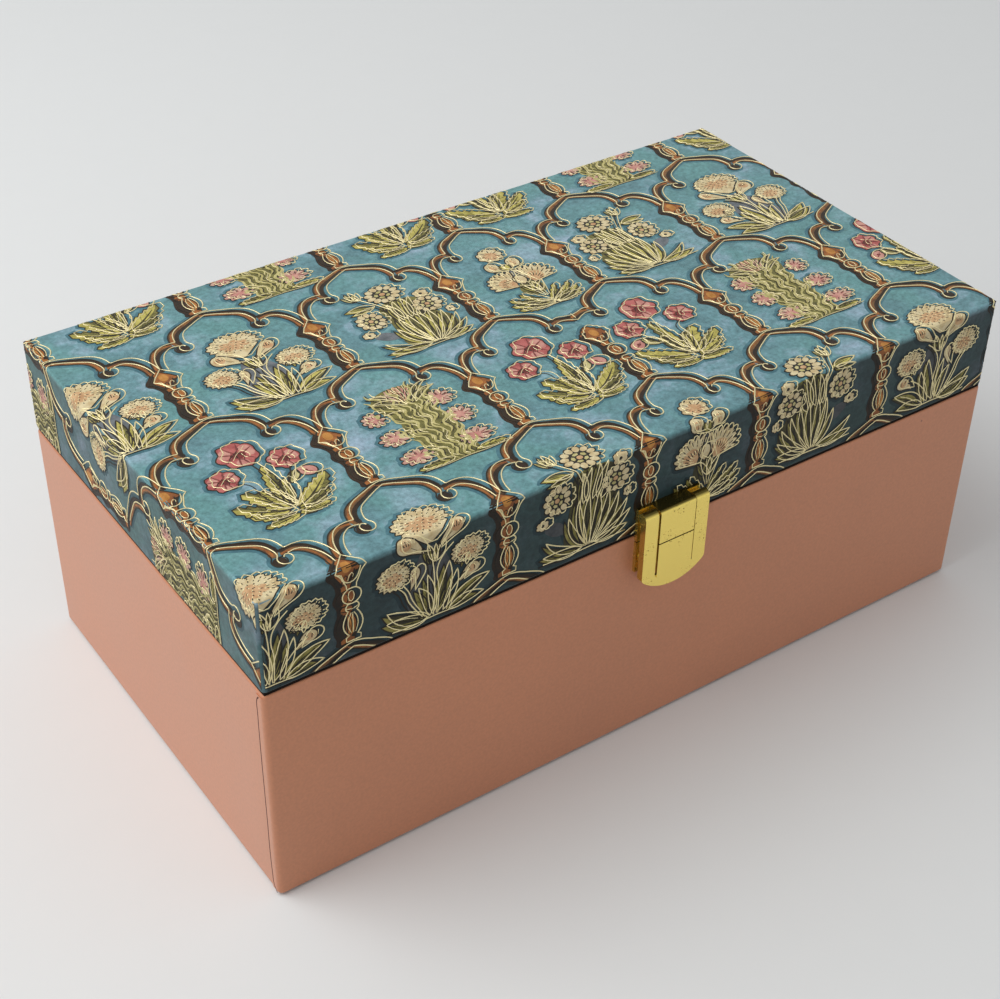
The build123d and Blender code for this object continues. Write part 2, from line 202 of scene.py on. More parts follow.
def embossed(add, place, grain, strength):
    """The bump of the roller's pebble grain, which stands 0.03 mm."""
    pebble = add("TexVoronoi", {"Vector": place, "Scale": 1 / grain, "Smoothness": 0.6}, feature="SMOOTH_F1")
    return add("Bump", {"Strength": strength, "Distance": 0.03 * MM, "Height": pebble})


def finish_node(name, material):
    """Gives a CAD node its material."""
    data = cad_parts[name].data
    data.materials.clear()
    data.materials.append(material)


def copper_leatherette(covering):
    # PU film with mica pearl on a woven back, roller embossed: satin gloss, a fine pebble and slow cloudy tone.
    # The mica gives a pale bloom at a low angle.
    material, shader, place, add = new_material("copper pearl PU leatherette")
    cloud = add("TexNoise", sized(place, 38, Detail=3, Roughness=0.55))
    cloudy = add("Mix", shades(cloud, covering.copper, 0.93, 1.07), data_type="RGBA")
    fibre = add("TexNoise", sized(place, 0.9, Detail=2))
    speck = add("MapRange", zip(RANGE, (fibre, 0.3, 0.7, 0.94, 1.05)))
    speckled = add("VectorMath", {0: cloudy, 1: speck}, operation="MULTIPLY")
    # Scuffs through the pearl are up to 0.8 mm across and about 25 mm apart.
    scuff = add("TexVoronoi", sized(place, 25))
    worn = add("MapRange", zip(RANGE, (scuff, 0.01, 0.018, 0.75, 0)))
    scuffed = add("Mix", {"Factor": worn, "A": speckled, "B": opaque("#6E3A2C")}, data_type="RGBA")
    bump = embossed(add, place, covering.grain, 0.25)
    gloss = add("MapRange", zip(RANGE, (cloud, 0.3, 0.7, 0.43, 0.5)))
    feed(material, shader, {
        "Base Color": scuffed, "Metallic": 0.15, "Roughness": gloss, "Sheen Weight": 0.22,
        "Sheen Roughness": 0.5, "Normal": bump})
    return material


def border_tone(add, place, share):
    """Painted shade: one on the sheet's flat top, less on its turned-down sides, least at front and back."""
    spot = add("SeparateXYZ", {"Vector": place})
    across = add("Math", {0: spot.outputs["X"]}, operation="ABSOLUTE")
    end, top = LID[1].x, LID[1].z
    low = add("MapRange", zip(RANGE, (across, end - 1.6 * MM, end - 0.4 * MM, share, 0.3 + 0.7 * share)))
    return add("MapRange", zip(RANGE, (spot.outputs["Z"], top - 2 * MM, top - 0.3 * MM, low, 1)))


def teal_leatherette(covering):
    # PU film printed with a mottled ground: watercolour patches from green to lavender, small flecks, painted
    # shade that darkens the ground where the sheet turns down, an embossed pebble and a satin varnish.
    material, shader, place, add = new_material("teal printed PU leatherette")
    patch = add("TexNoise", sized(place, 17, Detail=5, Roughness=0.62, Distortion=0.4))
    patches = add("ValToRGB", {"Fac": patch})
    ramp = patches.color_ramp.elements
    ramp[0].position, ramp[0].color = 0.36, opaque(covering.teal, 0.74)
    ramp[1].position, ramp[1].color = 0.66, opaque(covering.lavender)
    ramp.new(0.5).color = opaque(covering.teal)
    hue = add("TexNoise", sized(place, 29, Detail=3, Distortion=0.8))
    greener = add("MapRange", zip(RANGE, (hue, 0.42, 0.62, 0, 0.6)))
    ground = add("Mix", {"Factor": greener, "A": patches, "B": opaque("#689C98")}, data_type="RGBA")
    # Flecks of the print are about 1 mm across.
    fleck = add("TexNoise", sized(place, 1.7, Detail=4, Roughness=0.72))
    fleck_tone = add("MapRange", zip(RANGE, (fleck, 0.32, 0.68, 0.66, 1.18)))
    border = border_tone(add, place, covering.border)
    with_painted_shade = add("Math", {0: fleck_tone, 1: border}, operation="MULTIPLY")
    flecked = add("VectorMath", {0: ground, 1: with_painted_shade}, operation="MULTIPLY")
    bump = embossed(add, place, covering.grain, 0.4)
    feed(material, shader, {"Base Color": flecked, "Roughness": 0.45, "Specular IOR Level": 0.25, "Normal": bump})
    return material


def printed_ink(name, light, dark, border):
    # Printing ink on PU film: two tones that run into each other, with the grain of the film under them, and
    # painted shade where the sheet turns down.
    material, shader, place, add = new_material(name)
    wash = add("TexNoise", sized(place, 2.5, Detail=3, Roughness=0.6))
    washed = add("ValToRGB", {"Fac": wash})
    ramp = washed.color_ramp.elements
    ramp[0].position, ramp[0].color = 0.36, opaque(dark)
    ramp[1].position, ramp[1].color = 0.6, opaque(light)
    bump = embossed(add, place, 0.45 * MM, 0.35)
    with_painted_shade = add("VectorMath", {0: washed, 1: border_tone(add, place, border)}, operation="MULTIPLY")
    feed(material, shader, {"Base Color": with_painted_shade, "Roughness": 0.5, "Specular IOR Level": 0.25, "Normal": bump})
    return material


def foil_line(lines):
    # Pale gold foil, stamped hot on raised lines: soft metal gloss, so that its rounded lines catch the light on
    # the sides too, and rubbed a little duller in places.
    material, shader, place, add = new_material("pale gold stamping foil")
    rub = add("TexNoise", sized(place, 6, Detail=4, Roughness=0.65))
    rubbed = add("Mix", shades(rub, lines.foil, 0.84, 1.1), data_type="RGBA")
    gloss = add("MapRange", zip(RANGE, (rub, 0.3, 0.7, 0.46, 0.3)))
    feed(material, shader, {"Base Color": rubbed, "Metallic": 0.6, "Roughness": gloss})
    return material


def brass_plate(fittings):
    # Stamped steel, plated with brass and lacquered: bright, slightly wavy, with pin-point tarnish. Faces that
    # look up get a painted reflection of the dark lid in dark olive, and faces that look sideways get painted shade
    # in brown.
    material, shader, place, add = new_material("brass-plated pressed steel")
    wave = add("TexNoise", sized(place, 5, Detail=2))
    spot = add("TexVoronoi", sized(place, 0.9, Randomness=1))
    patchy = add("TexNoise", sized(place, 7, Detail=4, Roughness=0.65))
    # Tarnish spots are up to 0.3 mm across and keep to patches.
    pin = add("MapRange", zip(RANGE, (spot, 0.14, 0.34, 1, 0)))
    where = add("MapRange", zip(RANGE, (patchy, 0.52, 0.62, 0, 0.95)))
    tarnish = add("Math", {0: pin, 1: where}, operation="MULTIPLY")
    plated = add("Mix", {"Factor": tarnish, "A": opaque(fittings.brass), "B": opaque("#5E4018")}, data_type="RGBA")
    # Painted reflection and painted shade, set by which way each face looks.
    facing = add("SeparateXYZ", {"Vector": add("TexCoord").outputs["Normal"]})
    painted_reflection_mask = add("MapRange", zip(RANGE, (facing.outputs["Z"], 0.4, 0.85, 0, 0.96)))
    aside = add("Math", {0: facing.outputs["X"]}, operation="ABSOLUTE")
    painted_side_shade_mask = add("MapRange", zip(RANGE, (aside, 0.6, 0.95, 0, 0.4)))
    with_painted_side_shade = add("Mix", {"Factor": painted_side_shade_mask, "A": plated, "B": opaque("#6A4718")}, data_type="RGBA")
    with_painted_reflection = add("Mix", {"Factor": painted_reflection_mask, "A": with_painted_side_shade, "B": opaque("#463C18")}, data_type="RGBA")
    gloss = add("MapRange", zip(RANGE, (tarnish, 0, 1, 0.27, 0.6)))
    bump = add("Bump", {"Strength": 0.25, "Distance": 0.08 * MM, "Height": wave})
    feed(material, shader, {"Base Color": with_painted_reflection, "Metallic": 0.9, "Roughness": gloss, "Normal": bump})
    return material


def velvet_flock(covering):
    # Short viscose flock on paper: no gloss, pale bloom at a low angle, patches where the pile leans.
    material, shader, place, add = new_material("flocked viscose velvet")
    lean = add("TexNoise", sized(place, 22, Detail=3, Distortion=0.8))
    # One tuft is 0.5 mm, coarser than real flock, so that it shows.
    tuft = add("TexNoise", sized(place, 0.5, Detail=2, Roughness=0.7))
    leaning = add("Mix", shades(lean, covering.velvet, 0.8, 1.05), data_type="RGBA")
    depth = add("MapRange", zip(RANGE, (tuft, 0.3, 0.7, 0.86, 1.06)))
    tufted = add("VectorMath", {0: leaning, 1: depth}, operation="MULTIPLY")
    bump = add("Bump", {"Strength": 0.6, "Distance": 0.2 * MM, "Height": tuft})
    feed(material, shader, {
        "Base Color": tufted, "Roughness": 0.95, "Specular IOR Level": 0.15, "Sheen Weight": 0.6,
        "Sheen Roughness": 0.4, "Normal": bump})
    return material


def rim_felt():
    # Pressed wool felt in the seam, brown-black: its own colour and painted shade for the seam's gap. No gloss, and
    # fine loose fibres that break up its edge.
    material, shader, place, add = new_material("dyed wool felt")
    fibre = add("TexNoise", sized(place, 0.6, Detail=4, Roughness=0.75))
    # The near-black tones paint the shade of the gap between lid and base.
    seam_shade_tint = add("Mix", {"Factor": fibre, "A": opaque("#16110F"), "B": opaque("#2A211C")}, data_type="RGBA")
    bump = add("Bump", {"Strength": 0.6, "Distance": 0.2 * MM, "Height": fibre})
    feed(material, shader, {"Base Color": seam_shade_tint, "Roughness": 0.95, "Specular IOR Level": 0.1, "Normal": bump})
    return material


def pressed_board(name, light, dark, fibre):
    # Wood or paper fibre pressed with glue: dull, with short fibres in two tones.
    material, shader, place, add = new_material(name)
    mat = add("Mapping", {"Vector": place, "Scale": (1, 0.45, 1)})
    strand = add("TexNoise", sized(mat, fibre, Detail=4, Roughness=0.7))
    mixed = add("Mix", {"Factor": strand, "A": opaque(dark), "B": opaque(light)}, data_type="RGBA")
    bump = add("Bump", {"Strength": 0.3, "Distance": 0.1 * MM, "Height": strand})
    feed(material, shader, {"Base Color": mixed, "Roughness": 0.85, "Normal": bump})
    return material


def jar_glass():
    # Soda-lime glass, blown in a mould: clear, faintly green, with slow waves in its wall.
    material, shader, place, add = new_material("soda-lime glass")
    wave = add("TexNoise", sized(place, 16, Detail=1))
    bump = add("Bump", {"Strength": 0.15, "Distance": 0.4 * MM, "Height": wave})
    feed(material, shader, {
        "Base Color": opaque("#F4FAF7"), "Roughness": 0.02, "IOR": 1.52, "Transmission Weight": 1,
        "Normal": bump})
    return material


def lacquered_tinplate(fittings):
    # Tinplate rolled thin, gold lacquered and pressed: satin metal with the rolling lines of the sheet.
    material, shader, place, add = new_material("gold-lacquered tinplate")
    rolled = add("Mapping", {"Vector": place, "Scale": (0.06, 1, 1)})
    line = add("TexNoise", sized(rolled, 0.6, Detail=2))
    sheet = add("Mix", shades(line, fittings.tinplate, 0.93, 1.05), data_type="RGBA")
    gloss = add("MapRange", zip(RANGE, (line, 0.3, 0.7, 0.24, 0.33)))
    feed(material, shader, {"Base Color": sheet, "Metallic": 1, "Roughness": gloss})
    return material


def liner_foam():
    # Expanded polyethylene sheet: white, dull, with small closed cells.
    material, shader, place, add = new_material("expanded polyethylene foam")
    cell = add("TexVoronoi", sized(place, 0.7))
    shade = add("Mix", {"Factor": cell, "A": opaque("#F1F0EC"), "B": opaque("#E2E1DC")}, data_type="RGBA")
    bump = add("Bump", {"Strength": 0.3, "Distance": 0.1 * MM, "Height": cell})
    feed(material, shader, {"Base Color": shade, "Roughness": 0.7, "Normal": bump})
    return material


def path(points):
    """A stroke's points. Text such as "1.3,6.2 5.5,12.3!" is read as (x, y, sharp), and ! marks a sharp corner."""
    if isinstance(points, str):
        return [(*map(float, mark.rstrip("!").split(",")), mark.endswith("!")) for mark in points.split()]
    return points


def on_oval(middle, reach, far, angle, *sharp):
    """A point at a share of an oval's reach."""
    return (middle[0] + reach[0] * far * math.cos(angle), middle[1] + reach[1] * far * math.sin(angle), *sharp)


def rosette(middle, reach, lobes, dent, rough=None, turn=0.0):
    """A closed outline of round petals that meet in notches."""
    points = []
    for i in range(lobes):
        for share, far, sharp in ((0, 1 - dent, 1), (0.24, 0.98, 0), (0.5, 1.04, 0), (0.76, 0.98, 0)):
            angle = turn + 2 * math.pi * (i + share) / lobes
            far *= 1 + (rough.uniform(-0.05, 0.05) if rough else 0)
            points.append(on_oval(middle, reach, far, angle, sharp))
    return points


def loop(middle, reach):
    """A closed oval."""
    return [on_oval(middle, reach, 1, k * math.pi / 4) for k in range(8)]


def inside(middle, reach, points):
    """Points of a unit square laid on an oval."""
    return [(middle[0] + reach[0] * p[0], middle[1] + reach[1] * p[1], *p[2:]) for p in path(points)]


def mirrored(points, axis=0.0):
    """The same stroke on the other side of an upright axis."""
    return [(2 * axis - p[0], *p[1:]) for p in path(points)]


def raised(points, up):
    """The same stroke, higher."""
    return [(p[0], p[1] + up, *p[2:]) for p in path(points)]


# Width of a fine foil line, as a share of the full width.
FINE = 0.72


class Drawing:
    """The strokes of one figure, in millimetres, as points or as text that path reads."""

    def __init__(self):
        self.foil, self.areas, self.strokes = [], [], []

    def line(self, points, closed=False, fine=False):
        """A foil line with its printed shadow line."""
        self.foil.append((path(points), closed, FINE if fine else 1.0))

    def area(self, points, ink):
        """A printed area with no line."""
        self.areas.append((path(points), ink))

    def shape(self, points, ink):
        """A printed area with a foil line round it."""
        self.line(points, closed=True)
        self.area(points, ink)

    def stroke(self, points, ink="vein", weight=1.0):
        """A printed stroke with no foil on it."""
        self.strokes.append((path(points), ink, weight))

    def leaf(self, root, tip, width, bend=0.0, teeth=0, ink="leaf", shade="leaf_shade", veins=0, foil=True):
        """A leaf, swayed sideways, saw-toothed where asked, with one side in shade and printed veins."""
        run = (tip[0] - root[0], tip[1] - root[1])
        length = math.hypot(*run)
        aside = (-run[1] / length, run[0] / length)

        def at(share, off):
            off += 4 * bend * share * (1 - share)
            return (root[0] + run[0] * share + aside[0] * off, root[1] + run[1] * share + aside[1] * off)

        def side(sign):
            points = []
            for i in range(teeth):
                low, high = 0.1 + 0.84 * i / teeth, 0.1 + 0.84 * (i + 0.8) / teeth
                half = width / 2 * math.sin(math.pi * (0.06 + 0.9 * (low + high) / 2) ** 0.9) ** 0.75
                points += [(*at(low, sign * half * 0.88), 1), (*at(high, sign * half * 1.06), 1)]
            for share in () if teeth else (0.16, 0.4, 0.66, 0.86):
                points.append(at(share, sign * width / 2 * math.sin(math.pi * share**0.85) ** 0.8))
            return points

        left, right = side(1), side(-1)
        end, start = (*tip, 1), (*root, 1)
        outline = [start, *left, end, *reversed(right)]
        self.area(outline, ink)
        if foil:
            self.line(outline, closed=True)
        self.area([start, *right, end, *(at(share, -0.12 * width) for share in (0.8, 0.45, 0.1))], shade)
        if width > 1.4:
            self.stroke([at(share, 0) for share in (0.1, 0.45, 0.82)], weight=0.6 + 0.18 * width)
        for i in range(veins):
            share = 0.22 + 0.6 * i / veins
            for sign in (-1, 1):
                tip_share = min(0.95, share + 0.12)
                self.stroke([at(share, sign * 0.05 * width), at(tip_share, sign * 0.32 * width)], weight=0.9)


def grow_poppy(figure, middle, reach, rough, turn):
    """A wide bloom of crumpled petals with pale patches, a dark heart and veins."""
    figure.shape(rosette(middle, reach, 7, 0.11, rough, turn), "poppy")
    for patch, ink in (
        ("-0.86,0.1 -0.6,0.62 -0.2,0.5 -0.3,0.1 -0.62,-0.1", "blush"),
        ("0.3,0.5 0.66,0.56 0.88,0.1 0.7,-0.34 0.42,0.02", "blush"),
        ("-0.3,-0.5 0.1,-0.42 0.3,-0.8 -0.1,-0.94", "blush"),
        ("-0.34,0.06 0.1,0.16 0.42,0 0.2,-0.3 -0.16,-0.22", "poppy_heart"),
    ):
        figure.area(inside(middle, reach, patch), ink)
    for vein in (
        "-0.82,0.34 -0.46,0.2 -0.16,0.06", "-0.4,0.8 -0.24,0.44 -0.04,0.14", "0.34,0.82 0.22,0.46 0.08,0.14",
        "0.86,0.3 0.54,0.14 0.3,0.02", "0.66,-0.6 0.42,-0.36 0.22,-0.16", "-0.76,-0.36 -0.44,-0.22 -0.2,-0.08",
        "-0.2,-0.88 -0.12,-0.56 -0.02,-0.2", "0.24,-0.86 0.16,-0.6 0.08,-0.32",
    ):
        figure.stroke(inside(middle, reach, vein), "petal_line", 1.8)
    figure.line(inside(middle, reach, "-0.66,-0.36 -0.3,0 0.02,0.2 0.3,0.44"), fine=True)
    figure.line(inside(middle, reach, "0.02,0.2 0.22,-0.08 0.18,-0.42 -0.02,-0.34 -0.06,-0.04"), fine=True)


def poppies(rough):
    """Three red poppies over saw-toothed leaves."""
    figure = Drawing()
    figure.line("1.3,6.2 5.5,12.3 5.9,15.8 8.2,19.6 9.6,22.4")
    figure.line("1.2,6 2.8,12 2.9,20 1.4,28.4")
    figure.line("0.4,6 -2.8,15 -3.2,20.6 -6,23", fine=True)
    for leaf in (
        ((0.6, 4.6), (-9.9, 8.4), 4.2, 0.5, 4), ((2.6, 4.6), (13.6, 8.8), 3.8, -0.6, 4),
        ((0.4, 5.4), (-12.2, 13.8), 5.4, 0.8, 5), ((0.8, 6), (-7.3, 18.4), 5.6, -0.3, 5),
        ((2.8, 5.4), (16.3, 15.6), 6, -0.9, 6), ((1.4, 6.4), (-2.4, 17), 3.4, -0.2, 4),
        ((2, 6.4), (5.4, 18.6), 3.8, 0.3, 4), ((1.6, 8.4), (3.2, 26.6), 4, 0.2, 5),
        ((2, 3.2), (-8.6, 2.3), 3.4, 0.2, 5), ((1.8, 3.2), (11.2, 3.7), 3, -0.3, 5),
    ):
        figure.leaf(*leaf, veins=3)
    figure.leaf((10.2, 20.4), (6.4, 15.6), 3.2, ink="straw")
    figure.shape("10.4,20.6! 13.2,20.6 15.3,18.4 14.2,16.2 11.8,16.4 10.2,18.4", "blush")
    figure.stroke("11,19.6 12.4,18.2 13.8,17.4", "petal_line", 1.2)
    figure.area(loop((12.2, 18.6), (0.7, 0.6)), "poppy_heart")
    grow_poppy(figure, (-8.3, 25.9), (4.6, 4.6), rough, 0.2)
    grow_poppy(figure, (10, 26.6), (4.6, 4.6), rough, 0.5)
    grow_poppy(figure, (0.3, 34.4), (5.7, 5.9), rough, 0)
    return figure


def grow_marigold(figure, middle, reach, rough, tail=None):
    """A full round bloom of many small petals, each a short raised bead, with a calyx below where asked."""
    outline = rosette(middle, reach, 17, 0.1, rough, -math.pi / 2)
    if tail:
        outline = [p for p in outline if p[1] >= middle[1] - 0.62 * reach[1]]
        low = min(range(len(outline)), key=lambda i: (outline[i][0] < middle[0], outline[i][1]))
        outline = outline[low:] + outline[:low] + [(tail[0] - 0.8, tail[1], 1), (tail[0] + 0.8, tail[1], 1)]
    figure.shape(outline, "cream")
    heart = (middle[0], middle[1] - 0.15 * reach[1])
    figure.area(rosette(heart, (0.6 * reach[0], 0.5 * reach[1]), 7, 0.25, rough), "peach")
    for far in (0.8, 0.6, 0.4, 0.18):
        count = max(3, round(far * math.pi * (reach[0] + reach[1]) / 1.5))
        for i in range(count):
            angle = 2 * math.pi * (i + far) / count + rough.uniform(-0.1, 0.1)
            figure.line([on_oval(middle, reach, s, angle) for s in (far - 0.05, far + 0.06)], fine=True)


def marigolds(rough):
    """Three marigolds over broad leaves, with two half-open side blooms, a bud and a small bloom."""
    figure = Drawing()
    figure.area("-6.4,9 -4.8,15 -3.4,20 0.4,24.6 4.4,21.8 7.4,15.6 7.6,8 4,1.2 -2.6,1.2", "mauve")
    for stem in (
        "0,1 0.5,9 0.2,17 -0.4,21.4", "1.3,1 1.8,9 1.4,16 3.6,20 6.4,22.4", "-2.5,1.5 -6.2,8.5 -7.4,12 -9,14.8",
        "-3.4,1.8 -7.4,8.5 -8.6,12 -10.6,14.6", "4,1 5.2,6 5.4,10.6", "5,6 8.2,9.2 11.6,11.4",
        "-12.6,0.5 -7,0.1 0,0.5 7,0.3",
    ):
        figure.line(stem)
    for root, tip, width, bend in (
        ((-1.2, 1.2), (-14, 7.4), 4.4, 1.2), ((-1.6, 0.8), (-14.2, 4), 4.2, 0.6), ((5, 0.8), (17.6, 7.6), 4, 1),
        ((4.6, 0.5), (15.8, 2.2), 3.2, 0.8), ((-1, 1.2), (-4.4, 11.8), 3, -0.9),
        ((0.9, 1.2), (5.1, 16.8), 3.6, -0.9), ((3, 1.2), (7.6, 13.2), 2.8, -0.7),
        ((-0.2, 1.2), (-1.6, 15), 2.4, -0.6),
    ):
        figure.leaf(root, tip, width, bend, veins=2)
        if width > 3.9:
            rib = []
            for s, b in ((0.25, 0.5), (0.5, 0.9), (0.8, 1.2)):
                rise = 4 * b * s * (1 - s)
                rib.append((root[0] + (tip[0] - root[0]) * s, root[1] + (tip[1] - root[1]) * s + rise))
            figure.line(rib, fine=True)
    figure.leaf((0.6, 18.6), (-1.4, 24.8), 1.8)
    figure.leaf((1.4, 18.6), (3.8, 24.8), 2.2, -0.3)
    figure.leaf((1, 18.4), (1, 24.2), 1.3)
    figure.shape("-9.1,27.2 -8.4,29.2 -6.2,30 -3.9,28.8 -2,26.2 -0.6,22.6! -4.6,24 -8,25", "cream")
    figure.shape("11.5,28.4 10.8,30 8.8,30.3 6.8,28.6 4.6,25.6 2.6,22.2! 6.6,24.2 10.4,26", "cream")
    for sign, (x, y) in ((-1, (-6.4, 27.4)), (1, (9.2, 27.6))):
        figure.area(loop((x, y), (1.7, 1.7)), "peach")
        for off in (-1.2, 0.0, 1.2):
            top = (x + off * 0.9, y + 1.3 - abs(off) * 0.3)
            figure.line([top, (x + off * 0.5 - sign * 0.3, y - 0.2)], fine=True)
        figure.stroke([(x - sign * 1.6, y - 1.2), (x - sign * 3.4, y - 2.6)], weight=1.4)
    figure.shape("-5.4,17.2 -4.4,19.4 -2.9,19.4 -2.1,17.2 -3.4,14.6 -5.4,11.8! -5.2,14.8", "cream")
    figure.stroke("-4.6,18.2 -4.4,16.4 -4.8,14.6", "petal_line")
    figure.stroke("-3.2,18.2 -3.4,16.6", "petal_line")
    figure.shape("9.6,8.6! 11.4,12.4 13.2,13.7 15.4,13.2 16.2,11.4 14.8,9.8 12.4,9.4", "cream")
    figure.area(loop((13.6, 11.6), (1.5, 1.2)), "peach")
    figure.line("12.6,12.6 13.4,11.2", fine=True)
    figure.line("14.6,12.4 14.4,11", fine=True)
    for tip in ((8.2, 15), (10.4, 13.2)):
        figure.leaf((11, 17), tip, 1.5)
    grow_marigold(figure, (-10.3, 18.8), (5.1, 4.4), rough)
    grow_marigold(figure, (12.3, 18.4), (5.2, 4.2), rough)
    grow_marigold(figure, (0.9, 33.4), (8.1, 5.3), rough, tail=(0.6, 25.4))
    return figure


def grow_daisy(figure, middle, reach, rough, petals):
    """A bloom of short pale petals, parted by dark gaps, round a small heart."""
    figure.shape(rosette(middle, reach, petals, 0.16, rough), "seed")
    step = 2 * math.pi / petals
    for i in range(petals):
        angle = step * (i + 0.5)
        low = rough.uniform(0.5, 0.58)
        turns = ((-0.3, low), (-0.4, 0.84), (0, 0.98), (0.4, 0.84), (0.3, low))
        figure.area([on_oval(middle, reach, far, angle + turn * step) for turn, far in turns], "cream")
        if i % 2:
            figure.line([on_oval(middle, reach, far, angle) for far in (low + 0.04, 0.84)], fine=True)
    for i in range(5):
        angle = step + 2 * math.pi * i / 5
        turns = ((-0.4, 0.26), (-0.44, 0.4), (0, 0.46), (0.44, 0.4), (0.4, 0.26))
        figure.area([on_oval(middle, reach, far, angle + turn) for turn, far in turns], "straw")
    figure.area(loop(middle, (0.17 * reach[0], 0.17 * reach[1])), "peach")


def daisies(rough):
    """Three daisies over a fan of narrow leaves, with buds and small blooms beside them."""
    figure = Drawing()
    figure.area("-4.6,5 -4.2,12 -3,20 -2,27 5,28.4 10.6,27 12,17 14.6,12 12,5 2,2", "leaf_shade")
    figure.area("-11.6,13.6 -8.6,14.8 -5.2,12.6 -4,10.2 -6.4,9.6 -10.2,11.2", "mauve")
    figure.line("0.9,2.4 -1.6,12 -1.4,20 -0.4,27")
    figure.line("-1,24 -3.6,29.6 -6.4,34.4")
    figure.line("-0.2,25 -2.6,30.6 -4.6,35.4", fine=True)
    figure.line("-13.4,1.5 -5,1.1 4,1.3 14.4,1.7")
    for tip, width, bend in (
        ((-13.4, 3.6), 3.2, 0.6), ((15, 4), 3, -0.5), ((-12.6, 8.4), 2.6, 1.6), ((15.8, 8.8), 2.6, -1.2),
        ((14.6, 13), 2.6, -1.6), ((11.4, 16.4), 2.5, -1.6), ((8, 18.6), 2.5, -1.4), ((4.6, 19.2), 2.6, -1),
        ((1.4, 19.6), 2.5, 0.6), ((-2, 18.6), 2.5, 1), ((-5.2, 13.8), 2.4, 1.2),
    ):
        figure.leaf((1.6 + 0.14 * tip[0], 2.2), tip, width, bend)
    for leaf in (
        ((-0.6, 17), (-1.2, 27.4), 2, -0.8), ((0.8, 17), (1.8, 28), 2, 0.7),
        ((2.4, 17.4), (4.6, 28.4), 2.1, -0.7), ((4, 17.2), (7.4, 28.2), 2.1, 0.6),
        ((5.4, 16.4), (7.4, 23.4), 2, -0.6), ((-3.8, 28.6), (-12.6, 29.6), 2.8, -0.3),
        ((-4.2, 28.2), (-11.8, 27.2), 1.7, 0.2),
    ):
        figure.leaf(*leaf)
    for tip in ((-9.2, 37.8), (-7, 39.4), (-4.8, 38.2)):
        figure.leaf((-6.2, 33.6), tip, 1.7, ink="straw")
    for spot, reach in (((-12.4, 15.4), (2.1, 1.8)), ((16, 15.6), (1.5, 1.8)), ((12.9, 27.6), (2.5, 2.2))):
        figure.shape(rosette(spot, reach, 6, 0.16, rough), "cream")
        figure.area(loop(spot, (0.6, 0.55)), "seed")
    grow_daisy(figure, (-7.9, 21.9), (4.6, 4.9), rough, 11)
    grow_daisy(figure, (11.5, 21.6), (4.8, 4.4), rough, 10)
    grow_daisy(figure, (2.9, 33.3), (5.9, 4.9), rough, 12)
    return figure


def roses(rough):
    """A ragged double bell on a leafy base, with two buds and a rosette above."""
    figure = Drawing()
    figure.area("-2.4,9 -1.6,15.4 2.8,16.4 4.6,13.6 4,9", "leaf_shade")
    figure.area("-1.6,19.6 -1.8,23.4 2.2,23.6 2.4,19.6", "mauve")
    for across in (-1.2, 0.2, 1.6, 3.2):
        figure.line([(across * 0.3 + 0.6, 5.6), (across, 10), (across * 1.6 - 0.4, 14.6)], fine=True)
    for tip in ((-2.2, 14.2), (4.4, 14.4), (1.2, 14.8)):
        figure.leaf((0.8, 8.8), tip, 1.6)
    for sign in (-1, 1):
        for x, y, width, bend, teeth in (
            (11.4, 2.8, 3.4, -0.5, 5), (12.2, 6, 3.6, -0.8, 6), (11, 9.2, 3.4, -1, 6), (6.4, 10.4, 2.8, -0.4, 4),
        ):
            figure.leaf((0.9, 1.6), (0.9 + sign * x, y), width, sign * bend, teeth, veins=2)
    figure.line("-8,1.4 -3,0.5 4,0.5 10.4,1.6")
    # Two bells, drawn to the left and mirrored to the right: eight ragged petals each, round a seat.
    seat, axis = (-2.6, 15), 0.6
    rays = [(math.radians(172 - 13.5 * i), far) for i, far in enumerate((7.6, 8.6, 9.2, 9.6, 9.6, 9.4, 9.2, 9))]
    bell, heart = [(-2.4, 14.2, 1)], [seat]
    for angle, far in rays:
        for turn, share in ((0.11, 0.88), (0.05, 1), (-0.05, 1), (-0.11, 0.88)):
            bell.append(on_oval(seat, (far, far), share, angle + turn, share < 1))
    for (angle, far), share in zip(rays[::2], (0.5, 0.62, 0.6, 0.5)):
        heart.append(on_oval(seat, (far, far), share, angle))
    for turned in (list, lambda points: mirrored(points, axis)):
        figure.shape(turned(bell), "cream")
        figure.area(turned(heart), "peach")
        for i, (angle, far) in enumerate(rays):
            for low, high in ((0.3, 0.5), (0.62, 0.84)):
                crease = [on_oval(seat, (far, far), s, angle) for s in (low + 0.04 * (i % 2), high)]
                figure.line(turned(crease), fine=True)
    figure.shape("0.4,14.8! -1.7,16.8 -1.5,19.6 0.3,20.4 2,19.6 2.2,16.8", "cream")
    figure.stroke("0.4,16 -0.3,18 0.5,19.6", "petal_line")
    figure.line("-4.6,25 0.4,23.9 5.6,25")
    for x, y, lean in ((-3.2, 27.8, -1), (4.2, 27.8, 1)):
        bud = "-0.9,-0.9! -0.9,0.2 -0.3,0.95 0.5,0.95 1,0.1 0.5,-0.8"
        figure.shape(inside((x, y), (2.4 * lean, 2.8), bud), "cream")
        figure.area(loop((x, y - 0.2), (1.2, 1.5)), "peach")
        for off in (-0.8, 0.4):
            figure.line([(x + off, y - 1.4), (x + off * 1.4, y + 1.4)], fine=True)
    figure.shape("0.4,24.2! -1.4,26 -0.8,27.8 0.5,26.8! 1.8,27.8 2.4,26", "leaf")
    figure.shape(rosette((0.5, 34.9), (4.4, 4.1), 9, 0.14, rough, 0.3), "cream")
    figure.area(rosette((0.6, 34.2), (2.6, 2.4), 6, 0.2, rough), "peach")
    top = ((0.5, 34.8), (4.2, 3.9))
    for i in range(7):
        angle = 2 * math.pi * i / 7 + 0.4
        figure.line([on_oval(*top, s, angle) for s in (0.42, 0.8)], fine=True)
        figure.stroke([on_oval(*top, s, angle + 0.4) for s in (0.3, 0.66)], "petal_line", 0.9)
    return figure


